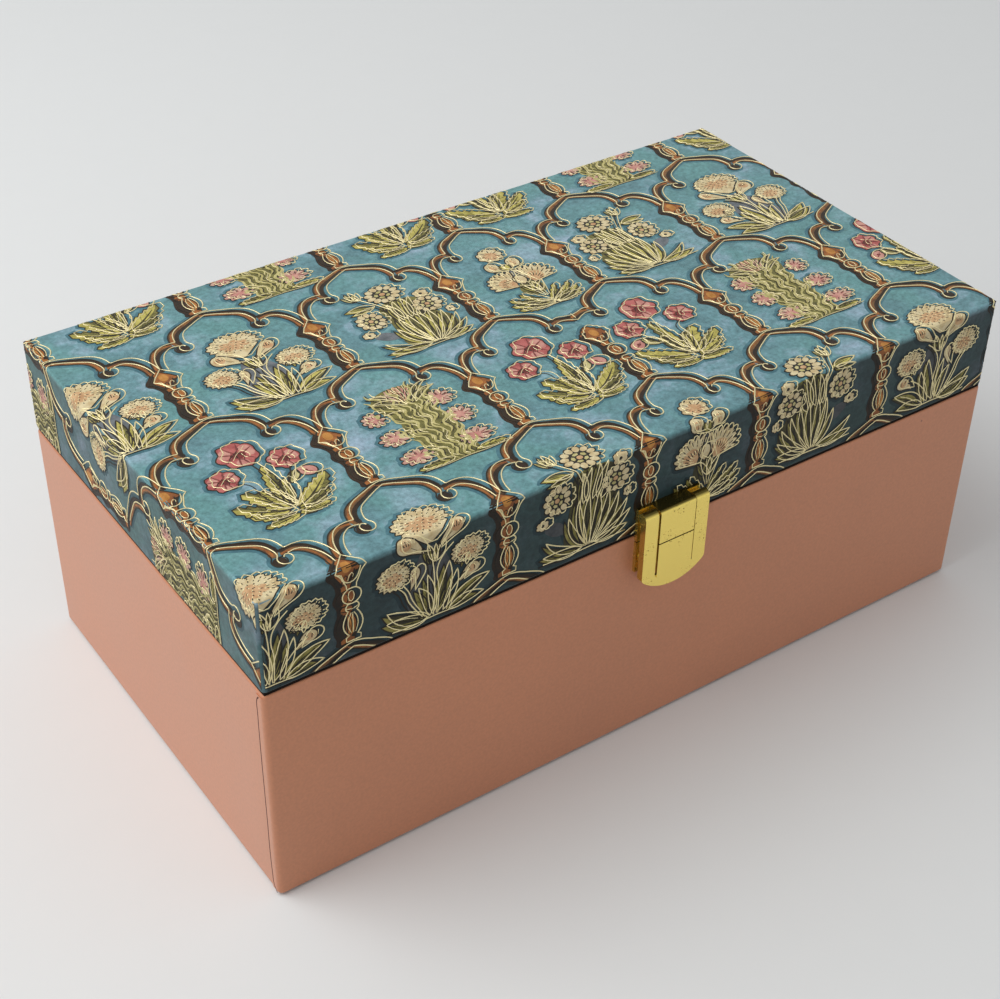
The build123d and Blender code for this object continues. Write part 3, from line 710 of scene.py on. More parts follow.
def grow_carnation(figure, middle, reach, aim, rough):
    """A small ragged bloom with petals that fan out from its stem."""
    figure.shape(rosette(middle, reach, 9, 0.26, rough, aim), "pink")
    base = on_oval(middle, reach, -0.55, aim)
    figure.area(loop(base, (0.34 * reach[0], 0.34 * reach[1])), "straw")
    figure.area(rosette(middle, (0.5 * reach[0], 0.5 * reach[1]), 5, 0.35, rough, aim + 0.4), "blush")
    for i in range(8):
        angle = aim + 0.62 * (i - 3.5)
        crease = [on_oval(middle, reach, s, angle) for s in (0.34, 0.56, 0.78)]
        figure.stroke([(p[0] + 0.3, p[1] - 0.3) for p in crease], "petal_line", 1.2)
        if i % 2:
            figure.line(crease, fine=True)


def carnations(rough):
    """A column of curling leaves with carnations down both sides."""
    figure = Drawing()
    axis = 2.6
    body = path(
        "2.6,0.4 -2.4,0.6 -3.6,5 -3.2,9.2 -4.4,13.6 -4.8,19 -3.8,24 -5.4,28.6 -6.6,33 -4.6,36.8 -1,38.6 2.6,39")
    figure.area(body + mirrored(body[1:-1], axis)[::-1], "leaf_shade")
    for row, half in enumerate((5.2, 5.6, 5.4, 6.4, 7, 6.8, 6, 6.6, 7.8, 7.6)):
        level = 1.4 + 3.6 * row
        sway = 1 if row % 2 else -1
        for column in range(7):
            share = (column - 3 + 0.5 * (row % 2)) / 3.2
            if abs(share) > 1.05 or (row > 7 and column % 2):
                continue
            x, y = axis + share * half, level + rough.uniform(-0.9, 0.9)
            lean = 2.6 * share + rough.uniform(-0.5, 0.5)
            blade = [
                (x, y), (x + lean * 0.2 + sway, y + 1.8), (x + lean * 0.7 - sway * 0.5, y + 4), (x + lean, y + 5.8)]
            figure.stroke(blade, "straw_line", 2.3)
            if (row + column) % 2:
                figure.line([(p[0] + 0.5, p[1]) for p in blade], fine=True)
    for sign in (-1, 1):
        for x, y, tip in ((1.4, 29.4, (10, 34.2)), (1.8, 31, (9, 37.4))):
            figure.leaf((axis + sign * x, y), (axis + sign * tip[0], tip[1]), 1.9, sign * 1.2, ink="straw")
        figure.leaf((axis + sign * 4, 1.6), (axis + sign * 14, 1.7), 2.6, 0, 4, veins=3)
    for across, tip, ink in (
        (-4, 37.6, "pink"), (4.2, 38, "peach"), (-2.4, 38.6, "pink"), (2.6, 39, "peach"), (-0.8, 39.2, "peach"),
        (1, 39.4, "peach"),
    ):
        figure.leaf((axis + 0.3 * across, 31.6), (axis + across, tip), 2.4, ink=ink, shade="blush", foil=False)
    for across, root, tip in (
        (0, 31.4, 38), (-1.6, 32.4, 37.6), (1.6, 32.4, 38.4), (-2.8, 34.4, 37.4), (3, 34, 38),
    ):
        near, far = axis + across * 0.5, axis + across * 1.3
        figure.line([(near, root), (axis + across * 0.9, (root + tip) / 2), (far, tip)], fine=True)
        figure.stroke([(near + 0.6, root), (far + 0.5, tip - 0.6)], "petal_line")
    figure.line("-11.4,0.4 -5,0 2.6,0.3 9,0 16.4,0.4", fine=True)
    for middle, reach, aim in (
        ((-9.5, 28), (3.4, 3.5), 3.6), ((11.8, 28), (4, 3.7), -0.6), ((-9.2, 17.6), (4.4, 3.5), 3.3),
        ((12.2, 18), (3.8, 3.9), -0.2), ((-8.4, 7.4), (5, 3.3), 3), ((10.4, 7.4), (5, 3.4), 0.1),
    ):
        x, y = middle
        stem = [(axis + (x - axis) * 0.3, y - 1), (axis + (x - axis) * 0.5, y)]
        figure.line([*stem, (x - 0.7 * reach[0] * math.cos(aim), y)])
        grow_carnation(figure, middle, reach, aim, rough)
    return figure


def baluster(mid=False):
    """The turned post between two arches. The one on the mirror axis is taller, with a scalloped head."""
    figure = Drawing()
    up, rise = (1.5, 2.4) if mid else (0, 0)
    left = path("-3.4,4 -3.2,5.8 -4,8.4 -3.6,11.4 -2.8,14") + raised("-2.9,16 -3.9,18.7 -2.9,21.4", up)
    left += raised("-3.6,24.4 -5.4,27 -3.4,30 -0.4,32.6", rise)
    right = raised("3,29.2 3.9,27.2 1.8,23", rise) + raised("2.4,18.7", up) + path("1.6,15.4 2.5,9.6 1.6,4")
    figure.area(left + right, "umber")
    half = path("0,4 2.1,4! 2.2,5.4! 1.2,5.9! 2.2,7.2 2.9,9.6 2.2,12.2 1.2,13.9! 1.8,14.3 1.8,15.6 1.2,16.2!")
    crest = "1.2,32.2 1.6,31.4! 2.5,31 2.8,30! 3.9,29.6 4,28.4!" if mid else "1.9,30.6 3.2,29.2!"
    head = raised(f"0,32.8! {crest} 4.5,27.2! 3.2,25.9 2.4,24.2 1.5,22.3! 1.4,21.1!", rise)
    figure.shape(half + mirrored(half[1:])[::-1], "rust")
    figure.shape(loop((0, 18.7 + up), (2.75, 2.5 + 0.15 * up)), "rust")
    figure.shape(head + mirrored(head[1:])[::-1], "rust")
    # The left flank of each part is in shade, and its right flank is lit.
    for points, higher, ink in (
        ("-0.6,5.8 -0.4,9 -0.6,13.6 -1.6,13.2 -2.8,9.4 -1.8,6.4", 0, "umber"),
        ("0.6,6.6 1.1,9.4 0.7,12.8 1.6,11.8 2.2,9.4 1.6,7.2", 0, "amber"),
        ("-0.9,16.8 -1.3,18.7 -0.9,20.8 -2.2,20 -2.7,18.7 -2.2,17.4", up, "umber"),
        ("-1,22.6 -2,25.4 -2.9,27.2 -1.4,30.6 -3.4,29 -4.4,27.2 -2.6,24.6", rise, "umber"),
        ("1,22.8 2.2,24.6 3.6,26.8 2.2,26 1,24.4", rise, "umber"),
        ("-0.6,28 0.6,26.8 2,28 0.6,30.6", rise, "amber"),
    ):
        figure.area(raised(points, higher), ink)
    figure.line(raised("-4.1,26.8 -2.8,26.2 -2.2,24.2 -1.2,23.3 0.6,23.3 2,24.6 2.8,27.2", rise))
    figure.line(raised("-1,23.8 -0.5,25.4 0.2,26 0.7,25.4 0.4,24.6", rise), fine=True)
    figure.line(loop((-0.2, 18.7 + up), (0.9, 1.7)), closed=True, fine=True)
    for wide in (-1.3, 0.0, 1.3):
        figure.line([(wide * 0.3, 13.2), (wide * 0.9, 11.6), (wide * 1.1, 9.2), (wide * 0.5, 6.6)], fine=True)
    figure.line("-1.8,14.9 0,14.4 1.8,14.9", fine=True)
    return figure


# Half width of the arch as it is drawn below, and how much of it is left in the narrow one at the mirror axis.
HALF_ARCH = 24.5
CUT_FIT = 0.93


def arch_side(figure, pitch, sign, cut_flat):
    """One side of a cusped arch, drawn in to fit its pitch. A cut side ends flat on the mirror axis."""
    fit = CUT_FIT if cut_flat else pitch / HALF_ARCH

    def laid(points):
        return [(sign * p[0] * fit, *p[1:]) for p in path(points)]

    def between(upper, lower, low, high):
        """The band between two shares of the way from one line to another."""
        near, far = (
            [tuple(a + (b - a) * share for a, b in zip(p[:2], q[:2])) for p, q in zip(upper, lower)]
            for share in (low, high))
        return near + far[::-1]

    crown = path("0,53.6! 2.8,53 5.5,51.9! 8.1,50.9 11.3,49.2 13.3,46.8 14.3,43.2!")
    under = path("0,51.9! 2.6,50.9 5.4,49.4! 7.6,48.2 9.8,46.6 11.1,44 11.4,41.3")
    if cut_flat:
        brow = path("14.3,43.2! 16.2,43.6 19,42.9 21.5,42.3!")
        lower = path("14.1,40.8! 16.2,41.2 18.8,40.6 21.5,39.2!")
    else:
        brow = path("14.3,43.2! 17.2,43.4 20.4,42.4 22.8,39.4 24,36 24.5,32.8")
        lower = path("14.1,40.8! 16.6,41.1 19,39.8 20.8,37.4 21.9,34.4 22.3,31.2")
    curl = path("11.4,41.3 10.5,39.6 10.7,38 12,37 13.6,37.3 14.6,38.6 14.3,40.2 13.2,40.6 12.5,39.8")
    for line in (crown, under[:-1] + curl, brow, lower):
        figure.line(laid(line))
    if cut_flat and sign > 0:
        figure.line(laid("21.5,43 21.5,40.4"), fine=True)
    figure.area(laid(crown + path("13.2,40.9!") + under[::-1]), "brown")
    figure.area(laid(brow + lower[::-1]), "brown")
    figure.area(laid(loop((12.5, 38.9), (1.9, 1.8))), "umber")
    # The band is in shade along its lower line on the left and its upper line on the right, and lit beside that.
    bands = ((0.62, 1, "umber"), (0.2, 0.36, "rust")) if sign < 0 else ((0, 0.38, "umber"), (0.62, 0.8, "rust"))
    for low, high, ink in bands:
        figure.area(laid(between(crown, under, low, high)), ink)
        figure.area(laid(between(brow, lower, low, high)), ink)


# Places of the columns from the mirror axis, and foot and parity of each row of arches, in millimetres.
OFFSETS = (0, 20, 42.5, 67, 91, 115, 139.5, 163.8, 188)
ROWS = ((-148, 1), (-98, 0), (-48, 1), (2, 0), (52, 1))


def columns():
    """Number and place of each column of the pattern."""
    return [(k, math.copysign(OFFSETS[abs(k)], k)) for k in range(-7, 8)]


# Length of one step of a finished line, in millimetres, and the most steps from one knot to the next.
STEP, MOST_STEPS = 0.8, 6


def lay_spline(curve, points, closed, weight=1.0, taper=1.0):
    """One stroke as a Bezier spline, smooth but for its marked corners, thinner at its ends where asked."""
    spans = len(points) if closed else len(points) - 1
    length = sum(math.dist(points[i][:2], points[(i + 1) % len(points)][:2]) for i in range(spans))
    spline = curve.splines.new("BEZIER")
    spline.bezier_points.add(len(points) - 1)
    spline.use_cyclic_u = closed
    spline.resolution_u = max(1, min(MOST_STEPS, round(length / spans / STEP)))
    for knot, point in zip(spline.bezier_points, points):
        knot.co = (point[0] * MM, point[1] * MM, 0)
        knot.handle_left_type = knot.handle_right_type = "VECTOR" if len(point) > 2 and point[2] else "AUTO"
        knot.radius = weight
    if not closed:
        for end in (0, -1):
            spline.bezier_points[end].radius = weight * taper


def add_object(name, data):
    """A new object in the scene."""
    thing = bpy.data.objects.new(name, data)
    bpy.context.scene.collection.objects.link(thing)
    return thing


def finished_mesh(shell, name):
    """A bmesh as a mesh. The bmesh is freed."""
    mesh = bpy.data.meshes.new(name)
    shell.to_mesh(mesh)
    shell.free()
    return mesh


def curve_to_bmesh(curve, into, lift, flatten=1.0):
    """Adds a curve's mesh to a bmesh, flattened and lifted."""
    carrier = add_object(curve.name, curve)
    bpy.context.view_layer.update()
    mesh = bpy.data.meshes.new_from_object(carrier.evaluated_get(bpy.context.evaluated_depsgraph_get()))
    bpy.data.objects.remove(carrier)
    bpy.data.curves.remove(curve)
    mesh.transform(Matrix.Translation((0, 0, lift)) @ Matrix.Diagonal((1, 1, flatten, 1)))
    into.from_mesh(mesh)
    bpy.data.meshes.remove(mesh)


def foil_mesh(strokes, width, height, lift, name, taper=1.0):
    """Rounded lines of a width and a height over their axis, as one mesh."""
    curve = bpy.data.curves.new(name, "CURVE")
    curve.dimensions = "3D"
    curve.bevel_depth = width / 2
    curve.bevel_resolution = 0
    curve.use_fill_caps = True
    for points, closed, weight in strokes:
        lay_spline(curve, points, closed, weight, taper)
    shell = bmesh.new()
    curve_to_bmesh(curve, shell, lift, 2 * height / width)
    return finished_mesh(shell, name)


# Half thickness and level of the first printed area, and how much higher each next one lies, in millimetres.
SLAB, SLAB_LEVEL, SLAB_STEP = 0.015, 0.016, 0.0014


def area_mesh(areas, name):
    """Printed areas as thin slabs, each a little over the one before it."""
    shell = bmesh.new()
    for order, points in areas:
        curve = bpy.data.curves.new(name, "CURVE")
        curve.dimensions = "2D"
        curve.fill_mode = "BOTH"
        curve.extrude = SLAB * MM
        lay_spline(curve, points, True)
        curve_to_bmesh(curve, shell, (SLAB_LEVEL + SLAB_STEP * order) * MM)
    bmesh.ops.remove_doubles(shell, verts=shell.verts, dist=1e-7)
    return finished_mesh(shell, name)


# How far over the lid's lower edge the print ends.
HEM = 0.5 * MM


class Blank:
    """The lid's cross-shaped flat blank: where it bends, where it ends and what lies on it."""

    def __init__(self, covering):
        self.rim, self.corner = covering.rim_radius, covering.corner_radius
        self.flat = tuple(LID[1][axis] - self.rim for axis in (0, 1))
        self.bend = self.rim * math.pi / 2
        drop = LID[1].z - self.rim - LID[0].z - HEM
        self.reach = tuple(edge + self.bend + drop for edge in self.flat)
        self.wing = tuple(LID[1][axis] - self.corner + self.corner * math.pi / 4 for axis in (0, 1))
        down = LID[1].y + LID[1].z
        low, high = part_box("latch_lid_plate")
        self.windows = [((low.x, -self.reach[1] - MM), (high.x, high.z - down))]
        for name in ("hinge_left_lid_leaf", "hinge_right_lid_leaf"):
            low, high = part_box(name)
            self.windows.append(((low.x, down - high.z), (high.x, self.reach[1] + MM)))

    def trim(self, part):
        """Cuts a placed figure at the blank's bends and edges, and takes out what lies under a metal plate."""
        low, high = ([pick(v.co[axis] for v in part.verts) for axis in (0, 1)] for pick in (min, max))
        if all(-self.flat[axis] < low[axis] and high[axis] < self.flat[axis] for axis in (0, 1)):
            return
        for axis in (0, 1):
            bends = (self.flat[axis], self.flat[axis] + self.bend / 2, self.flat[axis] + self.bend, self.wing[axis])
            for side in (-1, 1):
                for level in bends:
                    if low[axis] < side * level < high[axis]:
                        cut(part, axis, side * level, side)
                cut(part, axis, side * self.reach[axis], side, drop=True)
        for window in self.windows:
            if all(low[axis] < window[1][axis] and high[axis] > window[0][axis] for axis in (0, 1)):
                for axis in (0, 1):
                    for edge in window:
                        cut(part, axis, edge[axis], 1)
        bmesh.ops.delete(part, geom=[face for face in part.faces if self.is_off(face)], context="FACES")
        bmesh.ops.holes_fill(part, edges=[e for e in part.edges if e.is_boundary], sides=0)

    def is_off(self, face):
        """Whether a face lies in the cross's corners or under a plate."""
        x, y = face.calc_center_median().xy
        over = (abs(x) - self.flat[0], abs(y) - self.flat[1])
        in_corner = (abs(x) > self.wing[0] and over[1] > 0) or (abs(y) > self.wing[1] and over[0] > 0)
        return in_corner or any(near[0] < x < far[0] and near[1] < y < far[1] for near, far in self.windows)

    def fold(self, shell):
        """Folds the flat sheet over the rims and round the upright edges."""
        for vert in shell.verts:
            x, y, h = vert.co
            over = (abs(x) - self.flat[0], abs(y) - self.flat[1])
            axis = 0 if over[0] > over[1] else 1
            past = over[axis]
            if past <= 0:
                vert.co.z = LID[1].z + h
                continue
            turn = min(past / self.rim, math.pi / 2)
            out = LID[1][axis] - self.rim + (self.rim + h) * math.sin(turn)
            height = LID[1].z - self.rim + (self.rim + h) * math.cos(turn) - max(0.0, past - self.bend)
            side = math.copysign(1, vert.co[axis])
            across = vert.co[1 - axis]
            straight = LID[1][1 - axis] - self.corner
            if abs(across) > straight and past >= self.bend / 2:
                swing = (abs(across) - straight) / self.corner
                out += self.corner * (math.cos(swing) - 1)
                across = math.copysign(straight + (self.corner + h) * math.sin(swing), across)
            place = [0, 0, height]
            place[axis], place[1 - axis] = side * out, across
            vert.co = place


def cut(part, axis, level, side, drop=False):
    """Cuts square to an axis, and drops what lies beyond where asked."""
    point, normal = [0, 0, 0], [0, 0, 0]
    point[axis], normal[axis] = level, side
    parts = [*part.verts, *part.edges, *part.faces]
    bmesh.ops.bisect_plane(part, geom=parts, dist=1e-8, plane_co=point, plane_no=normal, clear_outer=drop)


# Width of a line, its height over its axis and the level of its axis, for each kind of flat printed line.
HALO_LINE = (2.4 * MM, 0.004 * MM, 0.006 * MM)
INK_LINE = (0.32 * MM, 0.02 * MM, 0.11 * MM)
SHADOW_SHARE, SHADOW_LINE = 0.9, (0.02 * MM, 0.085 * MM)


class Sheet:
    """The printed sheet: one mesh for each ink and one for the foil."""

    def __init__(self, context):
        self.lines, self.blank = context.scene.gift_box_print, Blank(context.scene.gift_box_covering)
        self.layers = {}

    def press(self, name, figure):
        """Turns a figure into meshes, one for each layer that it has."""
        width, height = self.lines.line_width, self.lines.line_height
        broad = [stroke for stroke in figure.foil if stroke[2] == 1]
        meshes = {
            "foil": foil_mesh(figure.foil, width, height * 0.8, height * 0.2, f"{name}_foil"),
            "shadow_line": foil_mesh(figure.foil, width * SHADOW_SHARE, *SHADOW_LINE, f"{name}_shadow_line"),
            "halo": foil_mesh(broad, *HALO_LINE, f"{name}_halo"),
        }
        for ink in sorted({ink for _, ink, _ in figure.strokes}):
            paths = [(points, False, weight) for points, key, weight in figure.strokes if key == ink]
            meshes[ink] = foil_mesh(paths, *INK_LINE, f"{name}_{ink}", taper=0.3)
        for ink in sorted({ink for _, ink in figure.areas}):
            areas = [(i, points) for i, (points, key) in enumerate(figure.areas) if key == ink]
            meshes[ink] = area_mesh(areas, f"{name}_{ink}")
        return meshes

    def place(self, meshes, column, foot, flip=False, side=""):
        """Lays pressed meshes on the sheet. Colours lie beside the foil by the print's shift."""
        across, along = self.lines.mirror_axis + column * MM, foot * MM
        for layer, mesh in meshes.items():
            x, y = across, along
            if layer != "foil":
                x += self.lines.shift_across + self.lines.stretch * across
                y += self.lines.shift_along
            part = bmesh.new()
            part.from_mesh(mesh)
            move = Matrix.Translation((x, y, 0)) @ Matrix.Diagonal((-1 if flip else 1, 1, 1, 1))
            bmesh.ops.transform(part, matrix=move, verts=part.verts)
            if flip:
                bmesh.ops.reverse_faces(part, faces=part.faces)
            self.blank.trim(part)
            scrap = finished_mesh(part, "scrap")
            key = layer + side if layer in ("foil", "shadow_line", "halo") else layer
            self.layers.setdefault(key, bmesh.new()).from_mesh(scrap)
            bpy.data.meshes.remove(scrap)

    def finish(self, name):
        """Folds each layer over the lid and gives it its ink or foil."""
        for key in sorted(self.layers):
            self.blank.fold(self.layers[key])
            layer = key.split(".")[0]
            if layer == "foil":
                material = bpy.data.materials.get("pale gold stamping foil") or foil_line(self.lines)
            else:
                title = f"{INKS[layer][0]} printing ink"
                material = bpy.data.materials.get(title) or printed_ink(title, *INKS[layer][1:])
            lid_piece(f"{name}_{key}", self.layers[key], material, smooth=layer == "foil")


def lid_piece(name, shell, material, smooth):
    """A layer of the print as an object on the lid."""
    piece = add_object(name, finished_mesh(shell, name))
    piece.data.materials.append(material)
    for face in piece.data.polygons:
        face.use_smooth = smooth
    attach(piece, "lid")


# Shade, light tone, dark tone, and how much of the tone painted shade leaves where the sheet turns down.
INKS = {
    "halo": ("shaded teal", "#4F7A84", "#3E656F", 0.16),
    "leaf": ("olive", "#C8BC66", "#9E9448", 0.45),
    "leaf_shade": ("dark olive", "#7C763E", "#524E2A", 0.25),
    "vein": ("black-olive", "#3C3520", "#2A2616", 0.5),
    "straw_line": ("pale olive", "#C9BE80", "#A69B5A", 0.5),
    "poppy": ("dusty rose", "#BC6A64", "#A04E4B", 0.8),
    "blush": ("pale rose", "#D09A8A", "#BC7C72", 0.8),
    "poppy_heart": ("deep red", "#7A302C", "#5A2422", 0.6),
    "petal_line": ("brick", "#8A4640", "#703634", 0.7),
    "cream": ("cream", "#DDCDA4", "#C6AE80", 0.85),
    "peach": ("peach", "#D2AC80", "#BC9066", 0.85),
    "straw": ("straw", "#CFC48C", "#AEA364", 0.8),
    "pink": ("pink", "#D0AC98", "#BC8C7C", 0.8),
    "mauve": ("grey-mauve", "#74787C", "#585E62", 0.35),
    "seed": ("black-brown", "#2E2A22", "#1F1C17", 0.6),
    "rust": ("rust", "#A4652F", "#7E4A26", 0.85),
    "amber": ("amber", "#C58A45", "#A8702F", 0.9),
    "brown": ("brown", "#7E5A34", "#583C22", 0.6),
    "umber": ("umber", "#33210F", "#20150B", 0.5),
    "shadow_line": ("outline", "#2E2618", "#201A11", 0.5),
}


class GIFTBOX_OT_base_shell(bpy.types.Operator):
    """Finish the base: covering, boards, lining and underside paper"""

    bl_idname = "gift_box.base_shell"
    bl_label = "Base shell"

    def execute(self, context):
        covering = context.scene.gift_box_covering
        board = pressed_board("medium-density fibreboard", "#C2A37A", "#9C7F58", 1.4)
        for side in ("front", "back", "left", "right", "floor"):
            finish_node(f"base_{side}_board", board)
        finish_node("base_cover", copper_leatherette(covering))
        finish_node("base_rim_strip", rim_felt())
        # A dark line on the left face near the front, curving out at both ends: the glued edge of the cover's
        # lapped joint, with the joint's shadow painted into its colour.
        low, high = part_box("base_cover")
        rim = high.z / MM
        line = path("68.8,0.8 67.4,2.6 66.8,7 66.5,30") + [(66.5, rim - 8), (66.8, rim - 2.6), (67.8, rim - 1.2)]
        mesh = foil_mesh([(line, False, 1.0)], 0.42 * MM, 0.03 * MM, 0, "lap_joint")
        # The line is drawn back to front and upward, and stood on the left face.
        mesh.transform(Matrix(((0, 0, -1, low.x), (-1, 0, 0, 0), (0, 1, 0, 0), (0, 0, 0, 1))))
        # Dark brown: the glued edge's own colour and a painted shadow of the joint.
        mesh.materials.append(pressed_board("glued edge of leatherette", "#5A2E22", "#3E1E18", 0.8))
        joint = add_object("lap_joint", mesh)
        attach(joint, "base")
        finish_node("base_lining", velvet_flock(covering))
        finish_node("underside_sheet", pressed_board("black kraft paper", "#2E2C2B", "#232120", 0.8))
        return {"FINISHED"}


class GIFTBOX_OT_lid_shell(bpy.types.Operator):
    """Finish the lid: covering, boards and lining"""

    bl_idname = "gift_box.lid_shell"
    bl_label = "Lid shell"

    def execute(self, context):
        for side in ("front", "back", "left", "right", "top"):
            finish_node(f"lid_{side}_board", bpy.data.materials["medium-density fibreboard"])
        finish_node("lid_cover", teal_leatherette(context.scene.gift_box_covering))
        finish_node("lid_lining", bpy.data.materials["flocked viscose velvet"])
        return {"FINISHED"}


class GIFTBOX_OT_lattice_print(bpy.types.Operator):
    """Print the lattice of cusped arches and turned posts on the lid"""

    bl_idname = "gift_box.lattice_print"
    bl_label = "Lattice print"

    def execute(self, context):
        sheet = Sheet(context)
        post, mid_post = sheet.press("post", baluster()), sheet.press("mid_post", baluster(mid=True))
        places = dict(columns())
        for foot, odd in ROWS:
            for k, across in places.items():
                if k % 2 == odd:
                    figure = Drawing()
                    for sign in (-1, 1):
                        if k + sign in places:
                            arch_side(figure, abs(places[k + sign] - across), sign, odd and k + sign == 0)
                    sheet.place(sheet.press(f"arch_{foot}_{k}", figure), across, foot)
                elif foot > ROWS[0][0]:
                    sheet.place(post if k else mid_post, across, foot)
        sheet.finish("lattice")
        return {"FINISHED"}


class GIFTBOX_OT_plant_print(bpy.types.Operator):
    """Print the flowering plants in the lattice's cells"""

    bl_idname = "gift_box.plant_print"
    bl_label = "Plant print"

    def execute(self, context):
        sheet = Sheet(context)
        rough = random.Random(sheet.lines.seed)
        drawn = (roses, daisies, marigolds, poppies, carnations)
        pressed = {kind: sheet.press(kind.__name__, kind(rough)) for kind in drawn}
        kinds = ((roses, daisies, marigolds, marigolds), (poppies, carnations, poppies, carnations))
        for foot, odd in ROWS[1:]:
            for k, across in columns():
                if k % 2 == odd:
                    kind = kinds[odd][abs(k) // 2]
                    sheet.place(pressed[kind], across, foot, k > 0, ".left" if k < 0 else ".right")
        sheet.finish("plants")
        return {"FINISHED"}


class GIFTBOX_OT_latch(bpy.types.Operator):
    """Finish the latch: flap, plates, pin and nails"""

    bl_idname = "gift_box.latch"
    bl_label = "Latch"

    def execute(self, context):
        brass = brass_plate(context.scene.gift_box_fittings)
        for part in ("lid_plate", "base_plate", "flap", "pin", "nails_base", "nails_lid"):
            finish_node(f"latch_{part}", brass)
        return {"FINISHED"}


class GIFTBOX_OT_hinges(bpy.types.Operator):
    """Finish the two back hinges and their nails"""

    bl_idname = "gift_box.hinges"
    bl_label = "Hinges"

    def execute(self, context):
        leaves = [f"{side}_{part}" for side in ("left", "right") for part in ("base_leaf", "lid_leaf", "pin")]
        for part in (*leaves, "nails_base", "nails_lid"):
            finish_node(f"hinge_{part}", bpy.data.materials["brass-plated pressed steel"])
        return {"FINISHED"}


class GIFTBOX_OT_jars(bpy.types.Operator):
    """Finish the two jars: glass, screw caps and liners"""

    bl_idname = "gift_box.jars"
    bl_label = "Jars"

    def execute(self, context):
        glass, cap, liner = jar_glass(), lacquered_tinplate(context.scene.gift_box_fittings), liner_foam()
        for side in ("left", "right"):
            finish_node(f"jar_{side}_glass", glass)
            finish_node(f"jar_{side}_cap", cap)
            finish_node(f"jar_{side}_liner", liner)
        return {"FINISHED"}


class GIFTBOX_OT_tray(bpy.types.Operator):
    """Finish the tray that holds the jars upright"""

    bl_idname = "gift_box.tray"
    bl_label = "Tray"

    def execute(self, context):
        board = pressed_board("grey chipboard", "#A39E95", "#817C74", 1.0)
        for part in ("deck", "front_leg", "back_leg", "left_leg", "right_leg", "divider"):
            finish_node(f"tray_{part}", board)
        finish_node("tray_cover", bpy.data.materials["flocked viscose velvet"])
        return {"FINISHED"}


# Half width of the floor, place and width of the lamp, what it looks at, and the place of the camera, in metres.
FLOOR_HALF = 4
LAMP_SPOT, LAMP_WIDTH, LAMP_AIM = Vector((-0.74, 0.34, 1)), 1.15, Vector((0, 0, 0.06))
CAMERA_SPOT = (-0.2730, -0.3783, 0.3944)


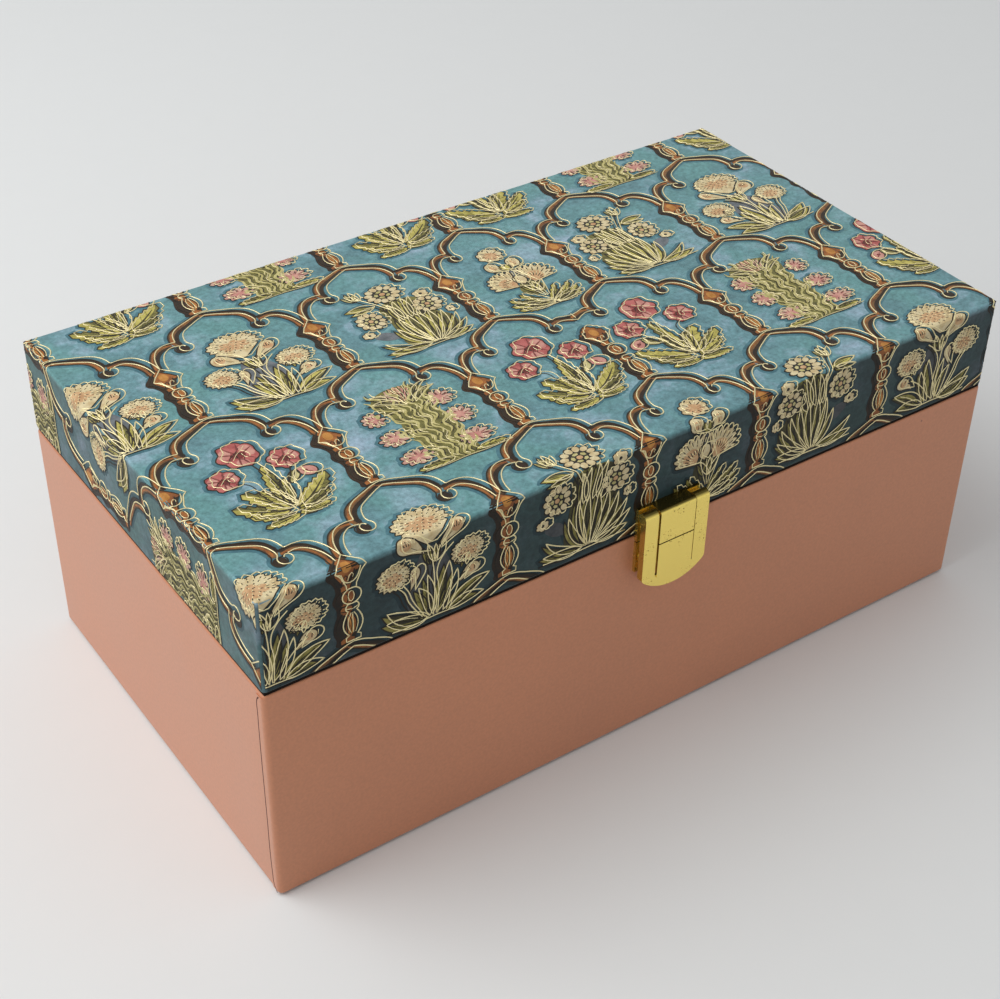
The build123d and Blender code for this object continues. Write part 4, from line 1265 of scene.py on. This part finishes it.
class GIFTBOX_OT_stage(bpy.types.Operator):
    """Set the floor, the soft light and the camera"""

    bl_idname = "gift_box.stage"
    bl_label = "Stage"

    def execute(self, context):
        scene = context.scene
        stage = scene.gift_box_stage
        # Matt studio board: pale, even, with a trace of tooth.
        material, shader, place, add = new_material("matt studio board")
        tooth = add("TexNoise", sized(place, 14, Detail=3))
        shade = add("Mix", shades(tooth, stage.floor, 0.985, 1), data_type="RGBA")
        feed(material, shader, {"Base Color": shade, "Roughness": 0.7, "Specular IOR Level": 0.3})
        shell = bmesh.new()
        bmesh.ops.create_grid(shell, x_segments=8, y_segments=8, size=FLOOR_HALF)
        floor = add_object("studio_floor", finished_mesh(shell, "studio_floor"))
        floor.data.materials.append(material)

        lamp = bpy.data.lights.new("key_lamp", "AREA")
        lamp.shape, lamp.size, lamp.energy = "SQUARE", LAMP_WIDTH, stage.key_power
        holder = add_object("key_lamp", lamp)
        holder.location = LAMP_SPOT
        holder.rotation_euler = (LAMP_AIM - LAMP_SPOT).to_track_quat("-Z", "Y").to_euler()

        # The surround lights evenly, and is seen as a plain light grey by the camera, in gloss and through glass.
        world = bpy.data.worlds.new("plain_surround")
        scene.world = world
        world.use_nodes = True
        world.node_tree.nodes.clear()
        rays = add_node(world, "LightPath").outputs
        seen = add_node(world, "Math", {0: rays["Is Camera Ray"], 1: rays["Is Glossy Ray"]}, operation="MAXIMUM")
        seen = add_node(world, "Math", {0: seen, 1: rays["Is Transmission Ray"]}, operation="MAXIMUM")
        plain = add_node(world, "Background", {"Color": opaque("#F6F8FA"), "Strength": stage.surround})
        shown = add_node(world, "Background", {"Color": opaque("#E8E9E8"), "Strength": 1})
        both = add_node(world, "MixShader", {0: seen, 1: plain, 2: shown})
        add_node(world, "OutputWorld", {"Surface": both})

        camera = bpy.data.cameras.new("camera")
        camera.sensor_width, camera.lens = 36, stage.focal_length
        camera.clip_start = 0.01
        turn, lift, roll = stage.azimuth, stage.elevation, stage.roll
        back = Vector((math.sin(turn) * math.cos(lift), -math.cos(turn) * math.cos(lift), math.sin(lift)))
        right = Vector((math.cos(turn), math.sin(turn), 0))
        up = back.cross(right)
        tilted = (right * math.cos(roll) + up * math.sin(roll), up * math.cos(roll) - right * math.sin(roll))
        view = Matrix((*tilted, back)).transposed().to_4x4()
        view.translation = CAMERA_SPOT
        scene.camera = add_object("camera", camera)
        scene.camera.matrix_world = view
        scene.view_settings.view_transform = "Standard"
        return {"FINISHED"}


STEPS = (
    GIFTBOX_OT_base_shell,
    GIFTBOX_OT_lid_shell,
    GIFTBOX_OT_lattice_print,
    GIFTBOX_OT_plant_print,
    GIFTBOX_OT_latch,
    GIFTBOX_OT_hinges,
    GIFTBOX_OT_jars,
    GIFTBOX_OT_tray,
    GIFTBOX_OT_stage,
)
GROUPS = {
    "gift_box_covering": GiftBoxCovering,
    "gift_box_print": GiftBoxPrint,
    "gift_box_fittings": GiftBoxFittings,
    "gift_box_stage": GiftBoxStage,
}


class GIFTBOX_PT_sidebar(bpy.types.Panel):
    bl_label = "Gift Box"
    bl_idname = "GIFTBOX_PT_sidebar"
    bl_space_type = "VIEW_3D"
    bl_region_type = "UI"
    bl_category = "Gift Box"

    def draw(self, context):
        for group in GROUPS:
            values = getattr(context.scene, group)
            column = self.layout.column()
            for name in values.bl_rna.properties.keys():
                if name not in ("rna_type", "name"):
                    column.prop(values, name)
        for step in STEPS:
            self.layout.operator(step.bl_idname)


def register():
    for kind in (*GROUPS.values(), *STEPS, GIFTBOX_PT_sidebar):
        bpy.utils.register_class(kind)
    for name, kind in GROUPS.items():
        setattr(bpy.types.Scene, name, PointerProperty(type=kind))


def unregister():
    for name in GROUPS:
        delattr(bpy.types.Scene, name)
    for kind in reversed((*GROUPS.values(), *STEPS, GIFTBOX_PT_sidebar)):
        bpy.utils.unregister_class(kind)


def main():
    register()
    bpy.ops.gift_box.base_shell()
    bpy.ops.gift_box.lid_shell()
    bpy.ops.gift_box.lattice_print()
    bpy.ops.gift_box.plant_print()
    bpy.ops.gift_box.latch()
    bpy.ops.gift_box.hinges()
    bpy.ops.gift_box.jars()
    bpy.ops.gift_box.tray()
    bpy.ops.gift_box.stage()


if __name__ == "__main__":
    main()
